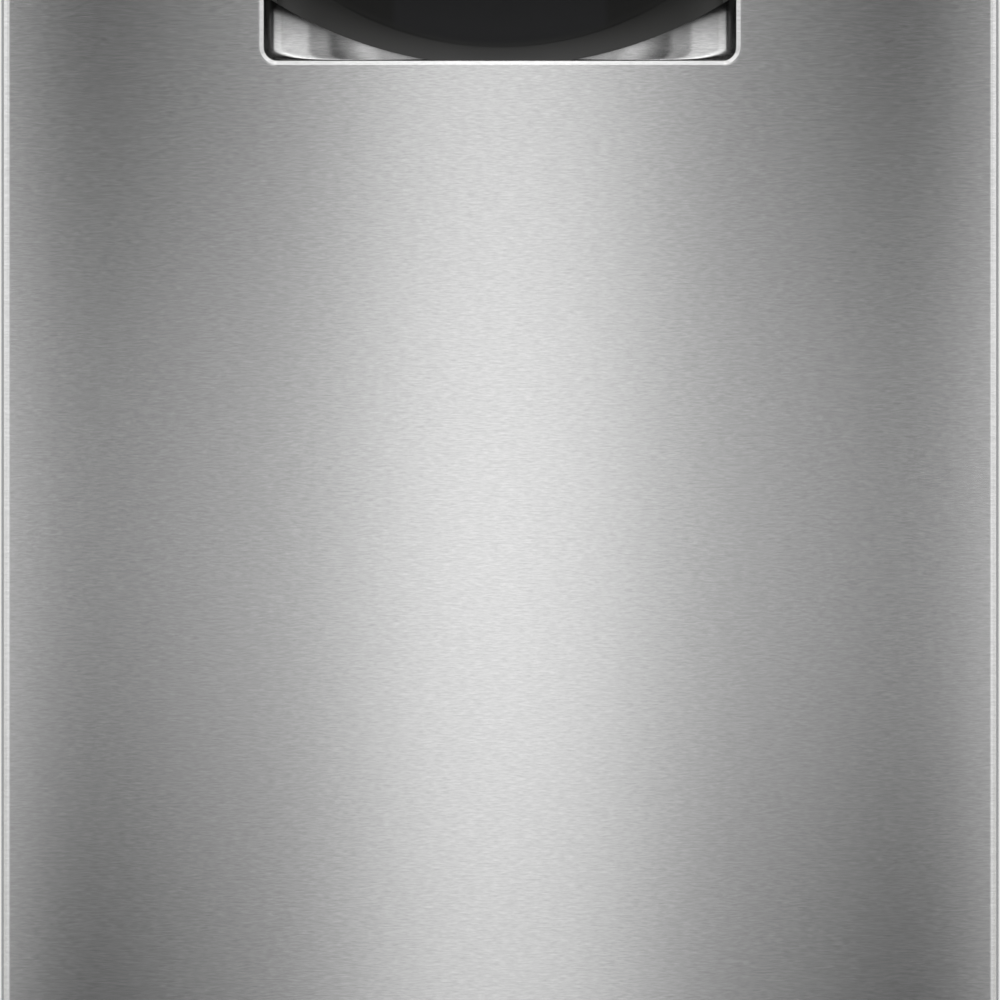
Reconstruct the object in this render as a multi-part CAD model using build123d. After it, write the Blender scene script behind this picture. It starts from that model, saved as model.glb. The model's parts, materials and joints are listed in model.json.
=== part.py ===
from build123d import *
import math
import os

# Freestanding dishwasher, 600 mm wide, with a drop-down door that has a brushed steel front and a
# stamped pocket handle. Millimetres, +Z up, the door faces -Y, and the origin is on the floor below
# the middle of the machine.

os.makedirs("parts", exist_ok=True)

# Driving sizes of the whole machine
WIDTH = 600
DEPTH = 600
HEIGHT = 845
WORKTOP_THICK = 30
DOOR_SIDE_GAP = 2.3
DOOR_DEPTH = 50
DOOR_BOTTOM = 100
DOOR_TOP_GAP = 3
CABINET_GAP = 4
KEY_PROUD = 0.8

FRONT_Y = KEY_PROUD - DEPTH / 2
REAR_Y = DEPTH / 2
CASING_TOP = HEIGHT - WORKTOP_THICK
DOOR_HALF = WIDTH / 2 - DOOR_SIDE_GAP
DOOR_INNER_Y = FRONT_Y + DOOR_DEPTH
DOOR_TOP = CASING_TOP - DOOR_TOP_GAP
CABINET_FRONT = DOOR_INNER_Y + CABINET_GAP

# The door turns on this axis, which runs along X
HINGE_INSET = 12
HINGE_LIFT = 12
HINGE_Y = DOOR_INNER_Y - HINGE_INSET
HINGE_Z = DOOR_BOTTOM + HINGE_LIFT

# Clearances that many pieces share
RUN_GAP = 0.3
BEARING_GAP = 0.08
OVERRUN = 5
SHEET = 1.0

MIDDLE_LOW = (Align.CENTER, Align.CENTER, Align.MIN)
LOW_CORNER = (Align.MIN, Align.MIN, Align.MIN)
SIDES = (-1, 1)


def block(low, high):
    """A box from its lowest corner to its highest."""
    size = Vector(*high) - Vector(*low)
    return Pos(*low) * Box(size.X, size.Y, size.Z, align=LOW_CORNER)


def rod_x(radius, start, end, y, z):
    """A round rod along X."""
    return Pos(min(start, end), y, z) * Rot(0, 90, 0) * Cylinder(radius, abs(end - start), align=MIDDLE_LOW)


def rod_y(radius, start, end, x, z):
    """A round rod along Y."""
    return Pos(x, start, z) * Rot(-90, 0, 0) * Cylinder(radius, end - start, align=MIDDLE_LOW)


def rod_z(radius, start, end, x, y):
    """A round rod along Z."""
    return Pos(x, y, start) * Cylinder(radius, end - start, align=MIDDLE_LOW)


def ring_of_sides(radius, sides):
    """A regular outline with one side at the bottom, for a round piece that nothing turns in."""
    return Rot(0, 0, 180 / sides) * RegularPolygon(radius, sides)


def along_x(sketch, start, end):
    """A sketch drawn in Y and Z, made solid from one X to another."""
    return extrude(Plane.YZ.offset(start) * sketch, amount=end - start)


def along_y(sketch, start, end):
    """A sketch drawn in X and Z, made solid from one Y to another."""
    return extrude(Plane.XZ.offset(-end) * sketch, amount=end - start)


def along_z(sketch, start, end):
    """A sketch drawn in X and Y, made solid from one Z to another."""
    return extrude(Plane.XY.offset(start) * sketch, amount=end - start)


def rectangle(low, high):
    """A flat rectangle between two corners of its sketch."""
    middle = Pos((low[0] + high[0]) / 2, (low[1] + high[1]) / 2)
    return middle * Rectangle(high[0] - low[0], high[1] - low[1])


def mirrored(side, shape):
    """The shape as drawn for the right, or its mirror image for the left."""
    return shape if side > 0 else mirror(shape, about=Plane.YZ)


def save(name, *solids):
    """Writes the solids of one sub-part to its file."""
    pieces = [s for shape in solids for s in shape.solids()]
    export_step(pieces[0] if len(pieces) == 1 else Compound(children=pieces), f"parts/{name}.step")


# Casing: worktop, side panels, rear panel and plinth
WORKTOP_SETBACK = 2
WORKTOP_EDGE = 5
FRONT_FLANGE = 10
FRONT_TRIM = 16
TRIM_BOTTOM = 150
SIDE_FLANGE = 15
PANEL_BOTTOM = 22
REAR_SHEET_GAP = 8
REAR_PANEL_Y = REAR_Y - REAR_SHEET_GAP
BEAD_DEPTH = 3
BEAD_END_ROOM = 70
BEAD_HALF_LENGTH = WIDTH / 2 - BEAD_END_ROOM
BEAD_HALF_HEIGHT = 16
BEAD_PITCH = 170
BEAD_COUNT = 4
PLINTH_SETBACK = 62
PLINTH_BOTTOM = 12
PLINTH_TOP_GAP = 8
PLINTH_TOP = DOOR_BOTTOM - PLINTH_TOP_GAP
PLINTH_INSET = 4
PLINTH_HALF = WIDTH / 2 - PLINTH_INSET
PLINTH_SHEET = 2
PLINTH_DEPTH = 15.2
PLINTH_Y = FRONT_Y + PLINTH_SETBACK

# Base tray and what it carries
TRAY_HALF = WIDTH / 2 - SHEET - SIDE_FLANGE
TRAY_FRONT = PLINTH_Y + PLINTH_DEPTH
TRAY_REAR_GAP = 30
TRAY_REAR = REAR_Y - TRAY_REAR_GAP
TRAY_BOTTOM = 20
TRAY_TOP = 98
REAR_PANEL_BOTTOM = TRAY_TOP + SHEET
TRAY_WALL = 3
FOOT_INSET = 34
FOOT_X = TRAY_HALF - FOOT_INSET
FOOT_FRONT_ROOM = 37
FOOT_Y = TRAY_FRONT + FOOT_FRONT_ROOM
FOOT_REAR_ROOM = 32
REAR_FOOT_Y = TRAY_REAR - FOOT_REAR_ROOM
STEM_RADIUS = 5
STEM_LENGTH = 45
STEM_GAP = 0.3
BOSS_RADIUS = 13
BOSS_TOP = 80
PAD_RADIUS = 20
PAD_HEIGHT = 9
PAD_SIDES = 24
FOOT_TRAVEL = 20
FOOT_HEX = 9
SHAFT_RADIUS = 4
SHAFT_Z = 40
SHAFT_HEAD = 7
SHAFT_HEAD_LENGTH = 7
SOCKET_RADIUS = 3
SOCKET_DEPTH = 5
DRIVE_HALF = 18
DRIVE_LENGTH = 40
POST = 24
POST_SIDE_ROOM = 44
POST_X = TRAY_HALF - POST_SIDE_ROOM
POST_END_ROOM = 104
POST_Y = REAR_Y - POST_END_ROOM
ANCHOR_LENGTH = 14
ANCHOR_HALF = 5

# Wash tub
TUB_SHEET = 1.0
TUB_INSET = 19
TUB_HALF = TRAY_HALF - TUB_INSET
TUB_FRONT = CABINET_FRONT + 3 * SHEET
TUB_REAR_GAP = 60
TUB_REAR = REAR_Y - TUB_REAR_GAP
TUB_LIFT = 28
TUB_FLOOR = TRAY_TOP + TUB_LIFT
TUB_TOP_ROOM = 25
TUB_TOP = CASING_TOP - TUB_TOP_ROOM
TUB_CORNER = 25
TUB_EDGE = 8
TUB_FLANGE = 18
BASIN_SIDE_MARGIN = 50
BASIN_HALF_X = TUB_HALF - BASIN_SIDE_MARGIN
BASIN_END_MARGIN = 35
BASIN_HALF_Y = TUB_REAR - BASIN_END_MARGIN
BASIN_SLOPE = 22
BASIN_CORNER = 50
BASIN_DEPTH = 20
BASIN_FLOOR = TUB_FLOOR - BASIN_DEPTH
SUMP_X = 45
SUMP_Y = -30
SUMP_RADIUS = 100
SALT_INSET = 154
SALT_X = SALT_INSET - TRAY_HALF
SALT_BEHIND = 140
SALT_Y = SUMP_Y + SALT_BEHIND
SALT_NECK = 32
GASKET_OUT = 14
GASKET_IN = 2.5
GASKET_CORNER = 12
GASKET_RISE = 8
BEARER_STANDOFF = 12


def worktop():
    """Removable top board with softened front and side edges."""
    board = block((-WIDTH / 2, FRONT_Y + WORKTOP_SETBACK, CASING_TOP), (WIDTH / 2, REAR_Y, HEIGHT))
    upright = board.edges().filter_by(Axis.Z).group_by(Axis.Y)[0]
    board = fillet(upright, WORKTOP_EDGE)
    return fillet(board.faces().sort_by(Axis.Z)[-1].edges(), WORKTOP_EDGE / 2)


def side_panel():
    """Right side sheet, with its front, rear, top and bottom edges folded inwards."""
    outer = WIDTH / 2
    front = CABINET_FRONT
    rear = REAR_PANEL_Y
    panel = block((outer - SHEET, front, PANEL_BOTTOM), (outer, rear, CASING_TOP))
    panel += block((outer - FRONT_FLANGE, front, PANEL_BOTTOM), (outer, front + SHEET, CASING_TOP))
    panel += block((outer - FRONT_TRIM, front, TRIM_BOTTOM), (outer, front + SHEET, CASING_TOP))
    panel += block((outer - SIDE_FLANGE, rear - SHEET, PANEL_BOTTOM), (outer, rear, CASING_TOP))
    panel += block((outer - SIDE_FLANGE, front, CASING_TOP - SHEET), (outer, rear, CASING_TOP))
    return panel + block((TRAY_HALF, TRAY_FRONT, PANEL_BOTTOM), (outer, rear, PANEL_BOTTOM + SHEET))


def rear_panel():
    """Rear sheet above the base, stiffened by pressed beads."""
    half = WIDTH / 2 - SHEET
    top = CASING_TOP - 2 * SHEET
    sheet = block((-half, REAR_PANEL_Y, REAR_PANEL_BOTTOM), (half, REAR_PANEL_Y + SHEET, top))
    middle = (REAR_PANEL_BOTTOM + top) / 2
    outline = SlotOverall(2 * BEAD_HALF_LENGTH, 2 * BEAD_HALF_HEIGHT)
    hollow = SlotOverall(2 * (BEAD_HALF_LENGTH - SHEET), 2 * (BEAD_HALF_HEIGHT - SHEET))
    for place in GridLocations(0, BEAD_PITCH, 1, BEAD_COUNT):
        at = Pos(0, middle) * place
        sheet += along_y(at * outline, REAR_PANEL_Y, REAR_PANEL_Y + BEAD_DEPTH + SHEET)
        sheet -= along_y(at * hollow, REAR_PANEL_Y - OVERRUN, REAR_PANEL_Y + BEAD_DEPTH)
    return sheet


def plinth():
    """Toe panel, folded back along its top and ends, with a hole to reach the rear foot's shaft."""
    outer = block((-PLINTH_HALF, PLINTH_Y, PLINTH_BOTTOM), (PLINTH_HALF, TRAY_FRONT, PLINTH_TOP))
    inner_half = PLINTH_HALF - PLINTH_SHEET
    hollow = block(
        (-inner_half, PLINTH_Y + PLINTH_SHEET, PLINTH_BOTTOM - OVERRUN),
        (inner_half, TRAY_FRONT + OVERRUN, PLINTH_TOP - PLINTH_SHEET),
    )
    access = rod_y(SHAFT_HEAD + 2 * SHEET, PLINTH_Y - OVERRUN, PLINTH_Y + OVERRUN, 0, SHAFT_Z)
    return outer - hollow - access


def base_tray():
    """Moulded base: an open tray with foot bosses, posts under the tub and spring anchors."""
    tray = block((-TRAY_HALF, TRAY_FRONT, TRAY_BOTTOM), (TRAY_HALF, TRAY_REAR, TRAY_TOP))
    inner = TRAY_HALF - TRAY_WALL
    floor_top = TRAY_BOTTOM + TRAY_WALL
    tray -= block(
        (-inner, TRAY_FRONT + TRAY_WALL, floor_top), (inner, TRAY_REAR - TRAY_WALL, TRAY_TOP + OVERRUN)
    )
    for side in SIDES:
        tray += rod_z(BOSS_RADIUS, TRAY_BOTTOM, BOSS_TOP, side * FOOT_X, FOOT_Y)
        for y in (-POST_Y, POST_Y):
            x = side * POST_X
            tray += block(
                (x - POST / 2, y - POST / 2, TRAY_BOTTOM),
                (x + POST / 2, y + POST / 2, TUB_FLOOR - TUB_SHEET),
            )
        anchor_end = ANCHOR_Y + ANCHOR_LENGTH
        wall_in = TRAY_HALF - TRAY_WALL
        anchor = block((wall_in, ANCHOR_Y, TRAY_BOTTOM), (TRAY_HALF, anchor_end, TRAY_TOP))
        anchor += block(
            (wall_in, ANCHOR_Y, TRAY_TOP - ANCHOR_LENGTH),
            (SPRING_X + ANCHOR_HALF, anchor_end, SPRING_Z + ANCHOR_HALF),
        )
        tray += mirrored(side, anchor)
    tray += block(
        (-DRIVE_HALF, REAR_FOOT_Y - DRIVE_LENGTH, TRAY_BOTTOM),
        (DRIVE_HALF, REAR_FOOT_Y + DRIVE_HALF, BOSS_TOP),
    )
    bore = STEM_RADIUS + STEM_GAP
    bore_top = TRAY_BOTTOM + STEM_LENGTH + STEM_RADIUS
    for x, y in ((-FOOT_X, FOOT_Y), (FOOT_X, FOOT_Y), (0, REAR_FOOT_Y)):
        tray -= rod_z(bore, TRAY_BOTTOM - OVERRUN, bore_top, x, y)
    shaft_bore = SHAFT_RADIUS + STEM_GAP
    tray -= rod_y(shaft_bore, TRAY_FRONT - OVERRUN, TRAY_FRONT + 2 * TRAY_WALL, 0, SHAFT_Z)
    tray -= rod_y(shaft_bore, REAR_FOOT_Y - DRIVE_LENGTH - OVERRUN, SHAFT_END + STEM_GAP, 0, SHAFT_Z)
    return tray - rod_y(
        INLET_RADIUS + 2 * SHEET, TRAY_REAR - 2 * TRAY_WALL, TRAY_REAR + OVERRUN, INLET_X, INLET_Z
    )


def foot(x, y):
    """Levelling foot: a pad, a hexagon for the spanner and the stem that turns in the base."""
    pad = along_z(Pos(x, y) * ring_of_sides(PAD_RADIUS, PAD_SIDES), 0, PAD_HEIGHT)
    pad = chamfer(pad.faces().sort_by(Axis.Z)[-1].edges(), PAD_HEIGHT / 3)
    hexagon = Pos(x, y) * RegularPolygon(FOOT_HEX, 6)
    pad += along_z(hexagon, PAD_HEIGHT, TRAY_BOTTOM - RUN_GAP)
    return pad + rod_z(STEM_RADIUS, PAD_HEIGHT, TRAY_BOTTOM + STEM_LENGTH, x, y)


SHAFT_END = REAR_FOOT_Y - STEM_RADIUS - 2 * SHAFT_RADIUS
SHAFT_HEAD_Y = TRAY_FRONT - RUN_GAP


def rear_foot_shaft():
    """Long shaft that sets the rear foot from the front, with a hexagon socket in its head."""
    head_front = SHAFT_HEAD_Y - SHAFT_HEAD_LENGTH
    shaft = rod_y(SHAFT_HEAD, head_front, SHAFT_HEAD_Y, 0, SHAFT_Z)
    shaft += rod_y(SHAFT_RADIUS, SHAFT_HEAD_Y, SHAFT_END, 0, SHAFT_Z)
    socket = Pos(0, SHAFT_Z) * RegularPolygon(SOCKET_RADIUS, 6)
    return shaft - along_y(socket, head_front - OVERRUN, head_front + SOCKET_DEPTH)


def wash_chamber(grow):
    """The space inside the tub's walls, or the tub's outside where grow is its sheet."""
    front = TUB_FRONT if grow else TUB_FRONT - OVERRUN
    half = TUB_HALF + grow
    chamber = block((-half, front, TUB_FLOOR - grow), (half, TUB_REAR + grow, TUB_TOP + grow))
    long_edges = chamber.edges().filter_by(Axis.Y).group_by(Axis.Z)
    chamber = fillet(long_edges[-1], TUB_CORNER + grow)
    chamber = fillet(chamber.edges().filter_by(Axis.Y).group_by(Axis.Z)[0], TUB_EDGE + grow)
    back = chamber.faces().sort_by(Axis.Y)[-1]
    chamber = fillet(back.edges(), TUB_EDGE + grow)
    rim = RectangleRounded(2 * (BASIN_HALF_X + grow), 2 * (BASIN_HALF_Y + grow), BASIN_CORNER + grow)
    low_x = BASIN_HALF_X - BASIN_SLOPE + grow
    low_y = BASIN_HALF_Y - BASIN_SLOPE + grow
    floor = RectangleRounded(2 * low_x, 2 * low_y, BASIN_CORNER - BASIN_SLOPE + grow)
    basin = loft([Pos(0, 0, BASIN_FLOOR - grow) * floor, Pos(0, 0, TUB_FLOOR) * rim])
    return chamber + basin


def tub():
    """Deep-drawn steel tub: chamber, basin and the flange round its mouth."""
    inside = wash_chamber(0)
    flange_half = TUB_HALF + TUB_FLANGE
    flange = block(
        (-flange_half, TUB_FRONT, TUB_FLOOR - TUB_FLANGE),
        (flange_half, TUB_FRONT + TUB_SHEET, TUB_TOP + TUB_FLANGE),
    )
    shell = wash_chamber(TUB_SHEET) + flange - inside
    shell -= rod_z(SUMP_RADIUS, BASIN_FLOOR - OVERRUN, TUB_FLOOR, SUMP_X, SUMP_Y)
    return shell - rod_z(SALT_NECK + TUB_SHEET, BASIN_FLOOR - OVERRUN, TUB_FLOOR, SALT_X, SALT_Y)


def tub_gasket():
    """Rubber seal round the sides and top of the tub's mouth, which the closed door rests against."""
    outer_half = TUB_HALF + GASKET_OUT
    inner_half = TUB_HALF + GASKET_IN
    outer = rectangle((-outer_half, TUB_FLOOR + GASKET_IN), (outer_half, TUB_TOP + GASKET_RISE))
    outer = fillet(outer.vertices().group_by(Axis.Y)[-1], GASKET_CORNER + GASKET_OUT)
    inner = rectangle((-inner_half, TUB_FLOOR - OVERRUN), (inner_half, TUB_TOP + GASKET_IN))
    inner = fillet(inner.vertices().group_by(Axis.Y)[-1], GASKET_CORNER + GASKET_IN)
    ring = along_y(outer - inner, DOOR_INNER_Y + RUN_GAP, TUB_FRONT)
    lip = ring.faces().sort_by(Axis.Y)[0]
    return chamfer(lip.edges(), GASKET_IN)


# Water path under the tub
SUMP_WALL = 3
SUMP_BOTTOM = 60
SUMP_TOP = BASIN_FLOOR - TUB_SHEET
SPINDLE_RADIUS = 9
SPINDLE_POST = 16
ARM_LIFT = 5
ARM_LOW = TUB_FLOOR + ARM_LIFT
ARM_THICK = 17
ARM_GAP = 0.3
SPINDLE_CAP = 13
FILTER_RIGHT_INSET = 53
FILTER_X = SUMP_X + SUMP_RADIUS - FILTER_RIGHT_INSET
FILTER_FRONT_INSET = 68
FILTER_Y = SUMP_Y - SUMP_RADIUS + FILTER_FRONT_INSET
FILTER_RADIUS = 33
FILTER_RISE = 10
FILTER_TOP = BASIN_FLOOR + FILTER_RISE
FILTER_PLATE = 112
FILTER_SHEET = 1.5
GRIP_BAR = 8
PUMP_Z = 65
VOLUTE_RADIUS = 36
VOLUTE_LENGTH = 34
MOTOR_RADIUS = 31
MOTOR_LENGTH = 92
PUMP_NOZZLE = 15
PUMP_REACH = 12
DRAIN_RADIUS = 22
DRAIN_LENGTH = 62
SOFTENER_LEFT = 106
SOFTENER_FRONT = 60
SOFTENER_LOW = (SALT_X - SOFTENER_LEFT, SALT_Y - SOFTENER_FRONT)
SOFTENER_RIGHT = 58
SOFTENER_BEHIND = 66
SOFTENER_HIGH = (SALT_X + SOFTENER_RIGHT, SALT_Y + SOFTENER_BEHIND)
SOFTENER_BOTTOM = TRAY_BOTTOM + TRAY_WALL
SOFTENER_TOP_GAP = 6
SOFTENER_TOP = BASIN_FLOOR - SOFTENER_TOP_GAP
SOFTENER_ROUND = 12
SALT_CAP_RADIUS = 37
SALT_CAP_HEIGHT = 12
SALT_GRIP = 6
INLET_INSET = 49
INLET_X = INLET_INSET - TRAY_HALF
INLET_Z = 72
INLET_RADIUS = 13.2
INLET_LENGTH = 22
INLET_BORE = 8
VALVE_HALF = 19
VALVE_DEPTH = 40
COIL_RADIUS = 12
COIL_HEIGHT = 40
COIL_TOP = INLET_Z + COIL_HEIGHT
PORT_Z = 68
PORT_INSET = 38
PORT_PLATE_WIDTH = 128
PORT_PLATE_BELOW = 26
PORT_PLATE_ABOVE = 24
PORT_PLATE_HIGH = (TRAY_HALF - PORT_INSET, PORT_Z + PORT_PLATE_ABOVE)
PORT_PLATE_LOW = (PORT_PLATE_HIGH[0] - PORT_PLATE_WIDTH, PORT_Z - PORT_PLATE_BELOW)
PORT_PLATE_THICK = 4
DRAIN_INSET = 32
DRAIN_X = PORT_PLATE_LOW[0] + DRAIN_INSET
DRAIN_SPIGOT = 9.5
DRAIN_SPIGOT_LENGTH = 22
DRAIN_BORE = 7
GLAND_INSET = 31
GLAND_X = PORT_PLATE_HIGH[0] - GLAND_INSET
GLAND_RADIUS = 10
GLAND_LENGTH = 13
GLAND_BORE = 4


def sump():
    """Moulded sump under the basin, with the spindle that carries the lower spray arm."""
    cup = rod_z(SUMP_RADIUS + SUMP_WALL, SUMP_BOTTOM, SUMP_TOP, SUMP_X, SUMP_Y)
    cup -= rod_z(SUMP_RADIUS, SUMP_BOTTOM + SUMP_WALL, SUMP_TOP + OVERRUN, SUMP_X, SUMP_Y)
    post = rod_z(SPINDLE_POST, SUMP_BOTTOM, ARM_LOW - ARM_GAP, 0, 0)
    arm_top = ARM_LOW + ARM_THICK
    post += rod_z(SPINDLE_RADIUS, SUMP_BOTTOM, arm_top + ARM_GAP, 0, 0)
    return cup + post + rod_z(SPINDLE_CAP, arm_top + ARM_GAP, arm_top + SPINDLE_CAP / 2, 0, 0)


def fine_filter():
    """Flat filter plate that lies on the basin floor round the spindle and the filter cup."""
    bottom = BASIN_FLOOR
    plate = rod_z(FILTER_PLATE, bottom, bottom + FILTER_SHEET, SUMP_X, SUMP_Y)
    plate += rod_z(FILTER_RADIUS + 2 * SUMP_WALL, bottom, bottom + 2 * SUMP_WALL, FILTER_X, FILTER_Y)
    plate -= rod_z(FILTER_RADIUS + RUN_GAP, bottom - OVERRUN, bottom + 2 * OVERRUN, FILTER_X, FILTER_Y)
    return plate - rod_z(SPINDLE_POST + RUN_GAP, bottom - OVERRUN, bottom + OVERRUN, 0, 0)


def filter_cup():
    """Coarse filter cup, hollow, with the bar that it is twisted by."""
    bottom = SUMP_BOTTOM + SUMP_WALL + RUN_GAP
    cup = rod_z(FILTER_RADIUS, bottom, FILTER_TOP, FILTER_X, FILTER_Y)
    cup -= rod_z(FILTER_RADIUS - SUMP_WALL, bottom + SUMP_WALL, FILTER_TOP + OVERRUN, FILTER_X, FILTER_Y)
    bar = block(
        (FILTER_X - FILTER_RADIUS + SHEET, FILTER_Y - GRIP_BAR / 2, FILTER_TOP - GRIP_BAR),
        (FILTER_X + FILTER_RADIUS - SHEET, FILTER_Y + GRIP_BAR / 2, FILTER_TOP + GRIP_BAR),
    )
    return cup + bar


def circulation_pump():
    """Circulation pump on its side: volute, motor and the nozzle that meets the sump."""
    face = SUMP_X - SUMP_RADIUS - SUMP_WALL - PUMP_REACH
    pump = rod_x(VOLUTE_RADIUS, face - VOLUTE_LENGTH, face, SUMP_Y, PUMP_Z)
    pump = chamfer(pump.edges().filter_by(GeomType.CIRCLE), SUMP_WALL)
    pump += rod_x(MOTOR_RADIUS, face - VOLUTE_LENGTH - MOTOR_LENGTH, face - VOLUTE_LENGTH, SUMP_Y, PUMP_Z)
    pump += rod_x(PUMP_NOZZLE, face, face + 2 * PUMP_REACH, SUMP_Y, PUMP_Z + PUMP_NOZZLE)
    return pump - rod_z(SUMP_RADIUS + SUMP_WALL, SUMP_BOTTOM - OVERRUN, SUMP_TOP + OVERRUN, SUMP_X, SUMP_Y)


def drain_pump():
    """Small drain pump on the other side of the sump."""
    start = SUMP_X + SUMP_RADIUS - SUMP_WALL
    end = SUMP_X + SUMP_RADIUS + SUMP_WALL + DRAIN_LENGTH
    pump = rod_x(DRAIN_RADIUS, start, end, SUMP_Y, SUMP_BOTTOM + DRAIN_RADIUS)
    return pump - rod_z(SUMP_RADIUS + SUMP_WALL, SUMP_BOTTOM - OVERRUN, SUMP_TOP + OVERRUN, SUMP_X, SUMP_Y)


def softener():
    """Water softener and salt reservoir, whose neck comes up through the basin floor."""
    tank = block((*SOFTENER_LOW, SOFTENER_BOTTOM), (*SOFTENER_HIGH, SOFTENER_TOP))
    tank = fillet(tank.edges().filter_by(Axis.Z), SOFTENER_ROUND)
    neck_top = BASIN_FLOOR + SUMP_WALL
    return tank + rod_z(SALT_NECK, SOFTENER_TOP, neck_top, SALT_X, SALT_Y)


def salt_cap():
    """Screw cap of the salt reservoir, with a raised grip across it."""
    bottom = BASIN_FLOOR + SUMP_WALL + RUN_GAP
    top = bottom + SALT_CAP_HEIGHT
    cap = rod_z(SALT_CAP_RADIUS, bottom, top - SALT_GRIP, SALT_X, SALT_Y)
    half = SALT_CAP_RADIUS - SALT_GRIP
    return cap + block(
        (SALT_X - half, SALT_Y - SALT_GRIP / 2, bottom), (SALT_X + half, SALT_Y + SALT_GRIP / 2, top)
    )


def inlet_valve():
    """Water inlet valve inside the rear wall, with its threaded hose connection."""
    rear = TRAY_REAR - TRAY_WALL
    valve = block(
        (INLET_X - VALVE_HALF, rear - VALVE_DEPTH, INLET_Z - VALVE_HALF),
        (INLET_X + VALVE_HALF, rear, INLET_Z + VALVE_HALF),
    )
    valve += rod_z(COIL_RADIUS, INLET_Z, COIL_TOP, INLET_X, rear - VALVE_DEPTH / 2)
    end = TRAY_REAR + INLET_LENGTH
    valve += rod_y(INLET_RADIUS, rear, end, INLET_X, INLET_Z)
    return valve - rod_y(INLET_BORE, rear, end + OVERRUN, INLET_X, INLET_Z)


def rear_connections():
    """Plate on the rear wall with the drain spigot and the cable gland."""
    plate = along_y(rectangle(PORT_PLATE_LOW, PORT_PLATE_HIGH), TRAY_REAR, TRAY_REAR + PORT_PLATE_THICK)
    face = TRAY_REAR + PORT_PLATE_THICK
    plate += rod_y(DRAIN_SPIGOT, face, face + DRAIN_SPIGOT_LENGTH, DRAIN_X, PORT_Z)
    plate -= rod_y(DRAIN_BORE, face, face + DRAIN_SPIGOT_LENGTH + OVERRUN, DRAIN_X, PORT_Z)
    plate += rod_y(GLAND_RADIUS, face, face + GLAND_LENGTH, GLAND_X, PORT_Z)
    return plate - rod_y(GLAND_BORE, face, face + GLAND_LENGTH + OVERRUN, GLAND_X, PORT_Z)


# Spray arms and the water guides that feed them
ARM_WALL_GAP = 35
LOWER_REACH = TUB_REAR - ARM_WALL_GAP
UPPER_ARM_SHORTER = 5
UPPER_REACH = LOWER_REACH - UPPER_ARM_SHORTER
ARM_ROOT = 21
ARM_TIP = 13
ARM_HUB = 27
ARM_ROUND = 3
NOZZLE_SHARES = (-0.93, -0.74, -0.55, -0.36, 0.3, 0.48, 0.66, 0.84)
NOZZLE_SIDE = 3
NOZZLE_LENGTH = 9
NOZZLE_WIDTH = 3
NOZZLE_DEPTH = 2
RISER_HALF = 22
RISER_DEPTH = 17
RISER_TOP = TUB_TOP - TUB_EDGE
RISER_PORT = 15
RISER_PORT_BORE = 9
RACK_REAR_GAP = 28
RACK_REAR = TUB_REAR - RACK_REAR_GAP
RACK_FRONT_GAP = 14.2
RACK_FRONT = TUB_FRONT + RACK_FRONT_GAP
PORT_CLEAR = 2
PORT_FACE = RACK_REAR + PORT_CLEAR
CEILING_DUCT = 14
SHOWER_RADIUS = 30
SHOWER_HEIGHT = 8
RAIL_DROP = 256
RAIL_Z = TUB_TOP - RAIL_DROP
FEED_DROP = 42
FEED_Z = RAIL_Z - FEED_DROP
FEED_HALF_WIDTH = 16
FEED_HALF_HEIGHT = 7
FEED_HUB = 20
FEED_PIN = 7
UPPER_ARM_TOP = FEED_Z - 2 * FEED_HALF_HEIGHT
UPPER_ARM_THICK = 15
FEED_NUT = 12
FEED_NUT_HEIGHT = 7


def spray_arm(reach, bottom, thick, bore):
    """Two-bladed spray arm with a hub, tapering to rounded tips."""
    tip = reach - ARM_TIP
    near = [(-tip, -ARM_TIP), (0, -ARM_ROOT), (tip, -ARM_TIP)]
    far = [(tip, ARM_TIP), (0, ARM_ROOT), (-tip, ARM_TIP)]
    plan = Circle(ARM_HUB) + Polygon(*near, *far, align=None)
    for side in SIDES:
        plan += Pos(side * tip, 0) * Circle(ARM_TIP)
    arm = along_z(plan, bottom, bottom + thick)
    arm = chamfer(arm.faces().sort_by(Axis.Z)[-1].edges(), ARM_ROUND)
    top = bottom + thick
    for share in NOZZLE_SHARES:
        x = share * reach
        y = NOZZLE_SIDE if share > 0 else -NOZZLE_SIDE
        arm -= block(
            (x - NOZZLE_LENGTH / 2, y - NOZZLE_WIDTH / 2, top - NOZZLE_DEPTH),
            (x + NOZZLE_LENGTH / 2, y + NOZZLE_WIDTH / 2, top + OVERRUN),
        )
    return arm - rod_z(bore, bottom - OVERRUN, bottom + thick + OVERRUN, 0, 0)


def water_riser():
    """Duct up the rear wall and along the ceiling, with the docking port and the ceiling shower."""
    back = TUB_REAR
    front = back - RISER_DEPTH
    duct = block((-RISER_HALF, front, TUB_FLOOR + TUB_EDGE), (RISER_HALF, back, RISER_TOP))
    duct += block((-RISER_HALF, 0, RISER_TOP - CEILING_DUCT), (RISER_HALF, back, RISER_TOP))
    shower_low = RISER_TOP - CEILING_DUCT - SHOWER_HEIGHT
    duct += rod_z(SHOWER_RADIUS, shower_low, RISER_TOP, 0, 0)
    duct += rod_y(RISER_PORT, PORT_FACE, front, 0, FEED_Z)
    return duct - rod_y(RISER_PORT_BORE, PORT_FACE - OVERRUN, front, 0, FEED_Z)


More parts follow.
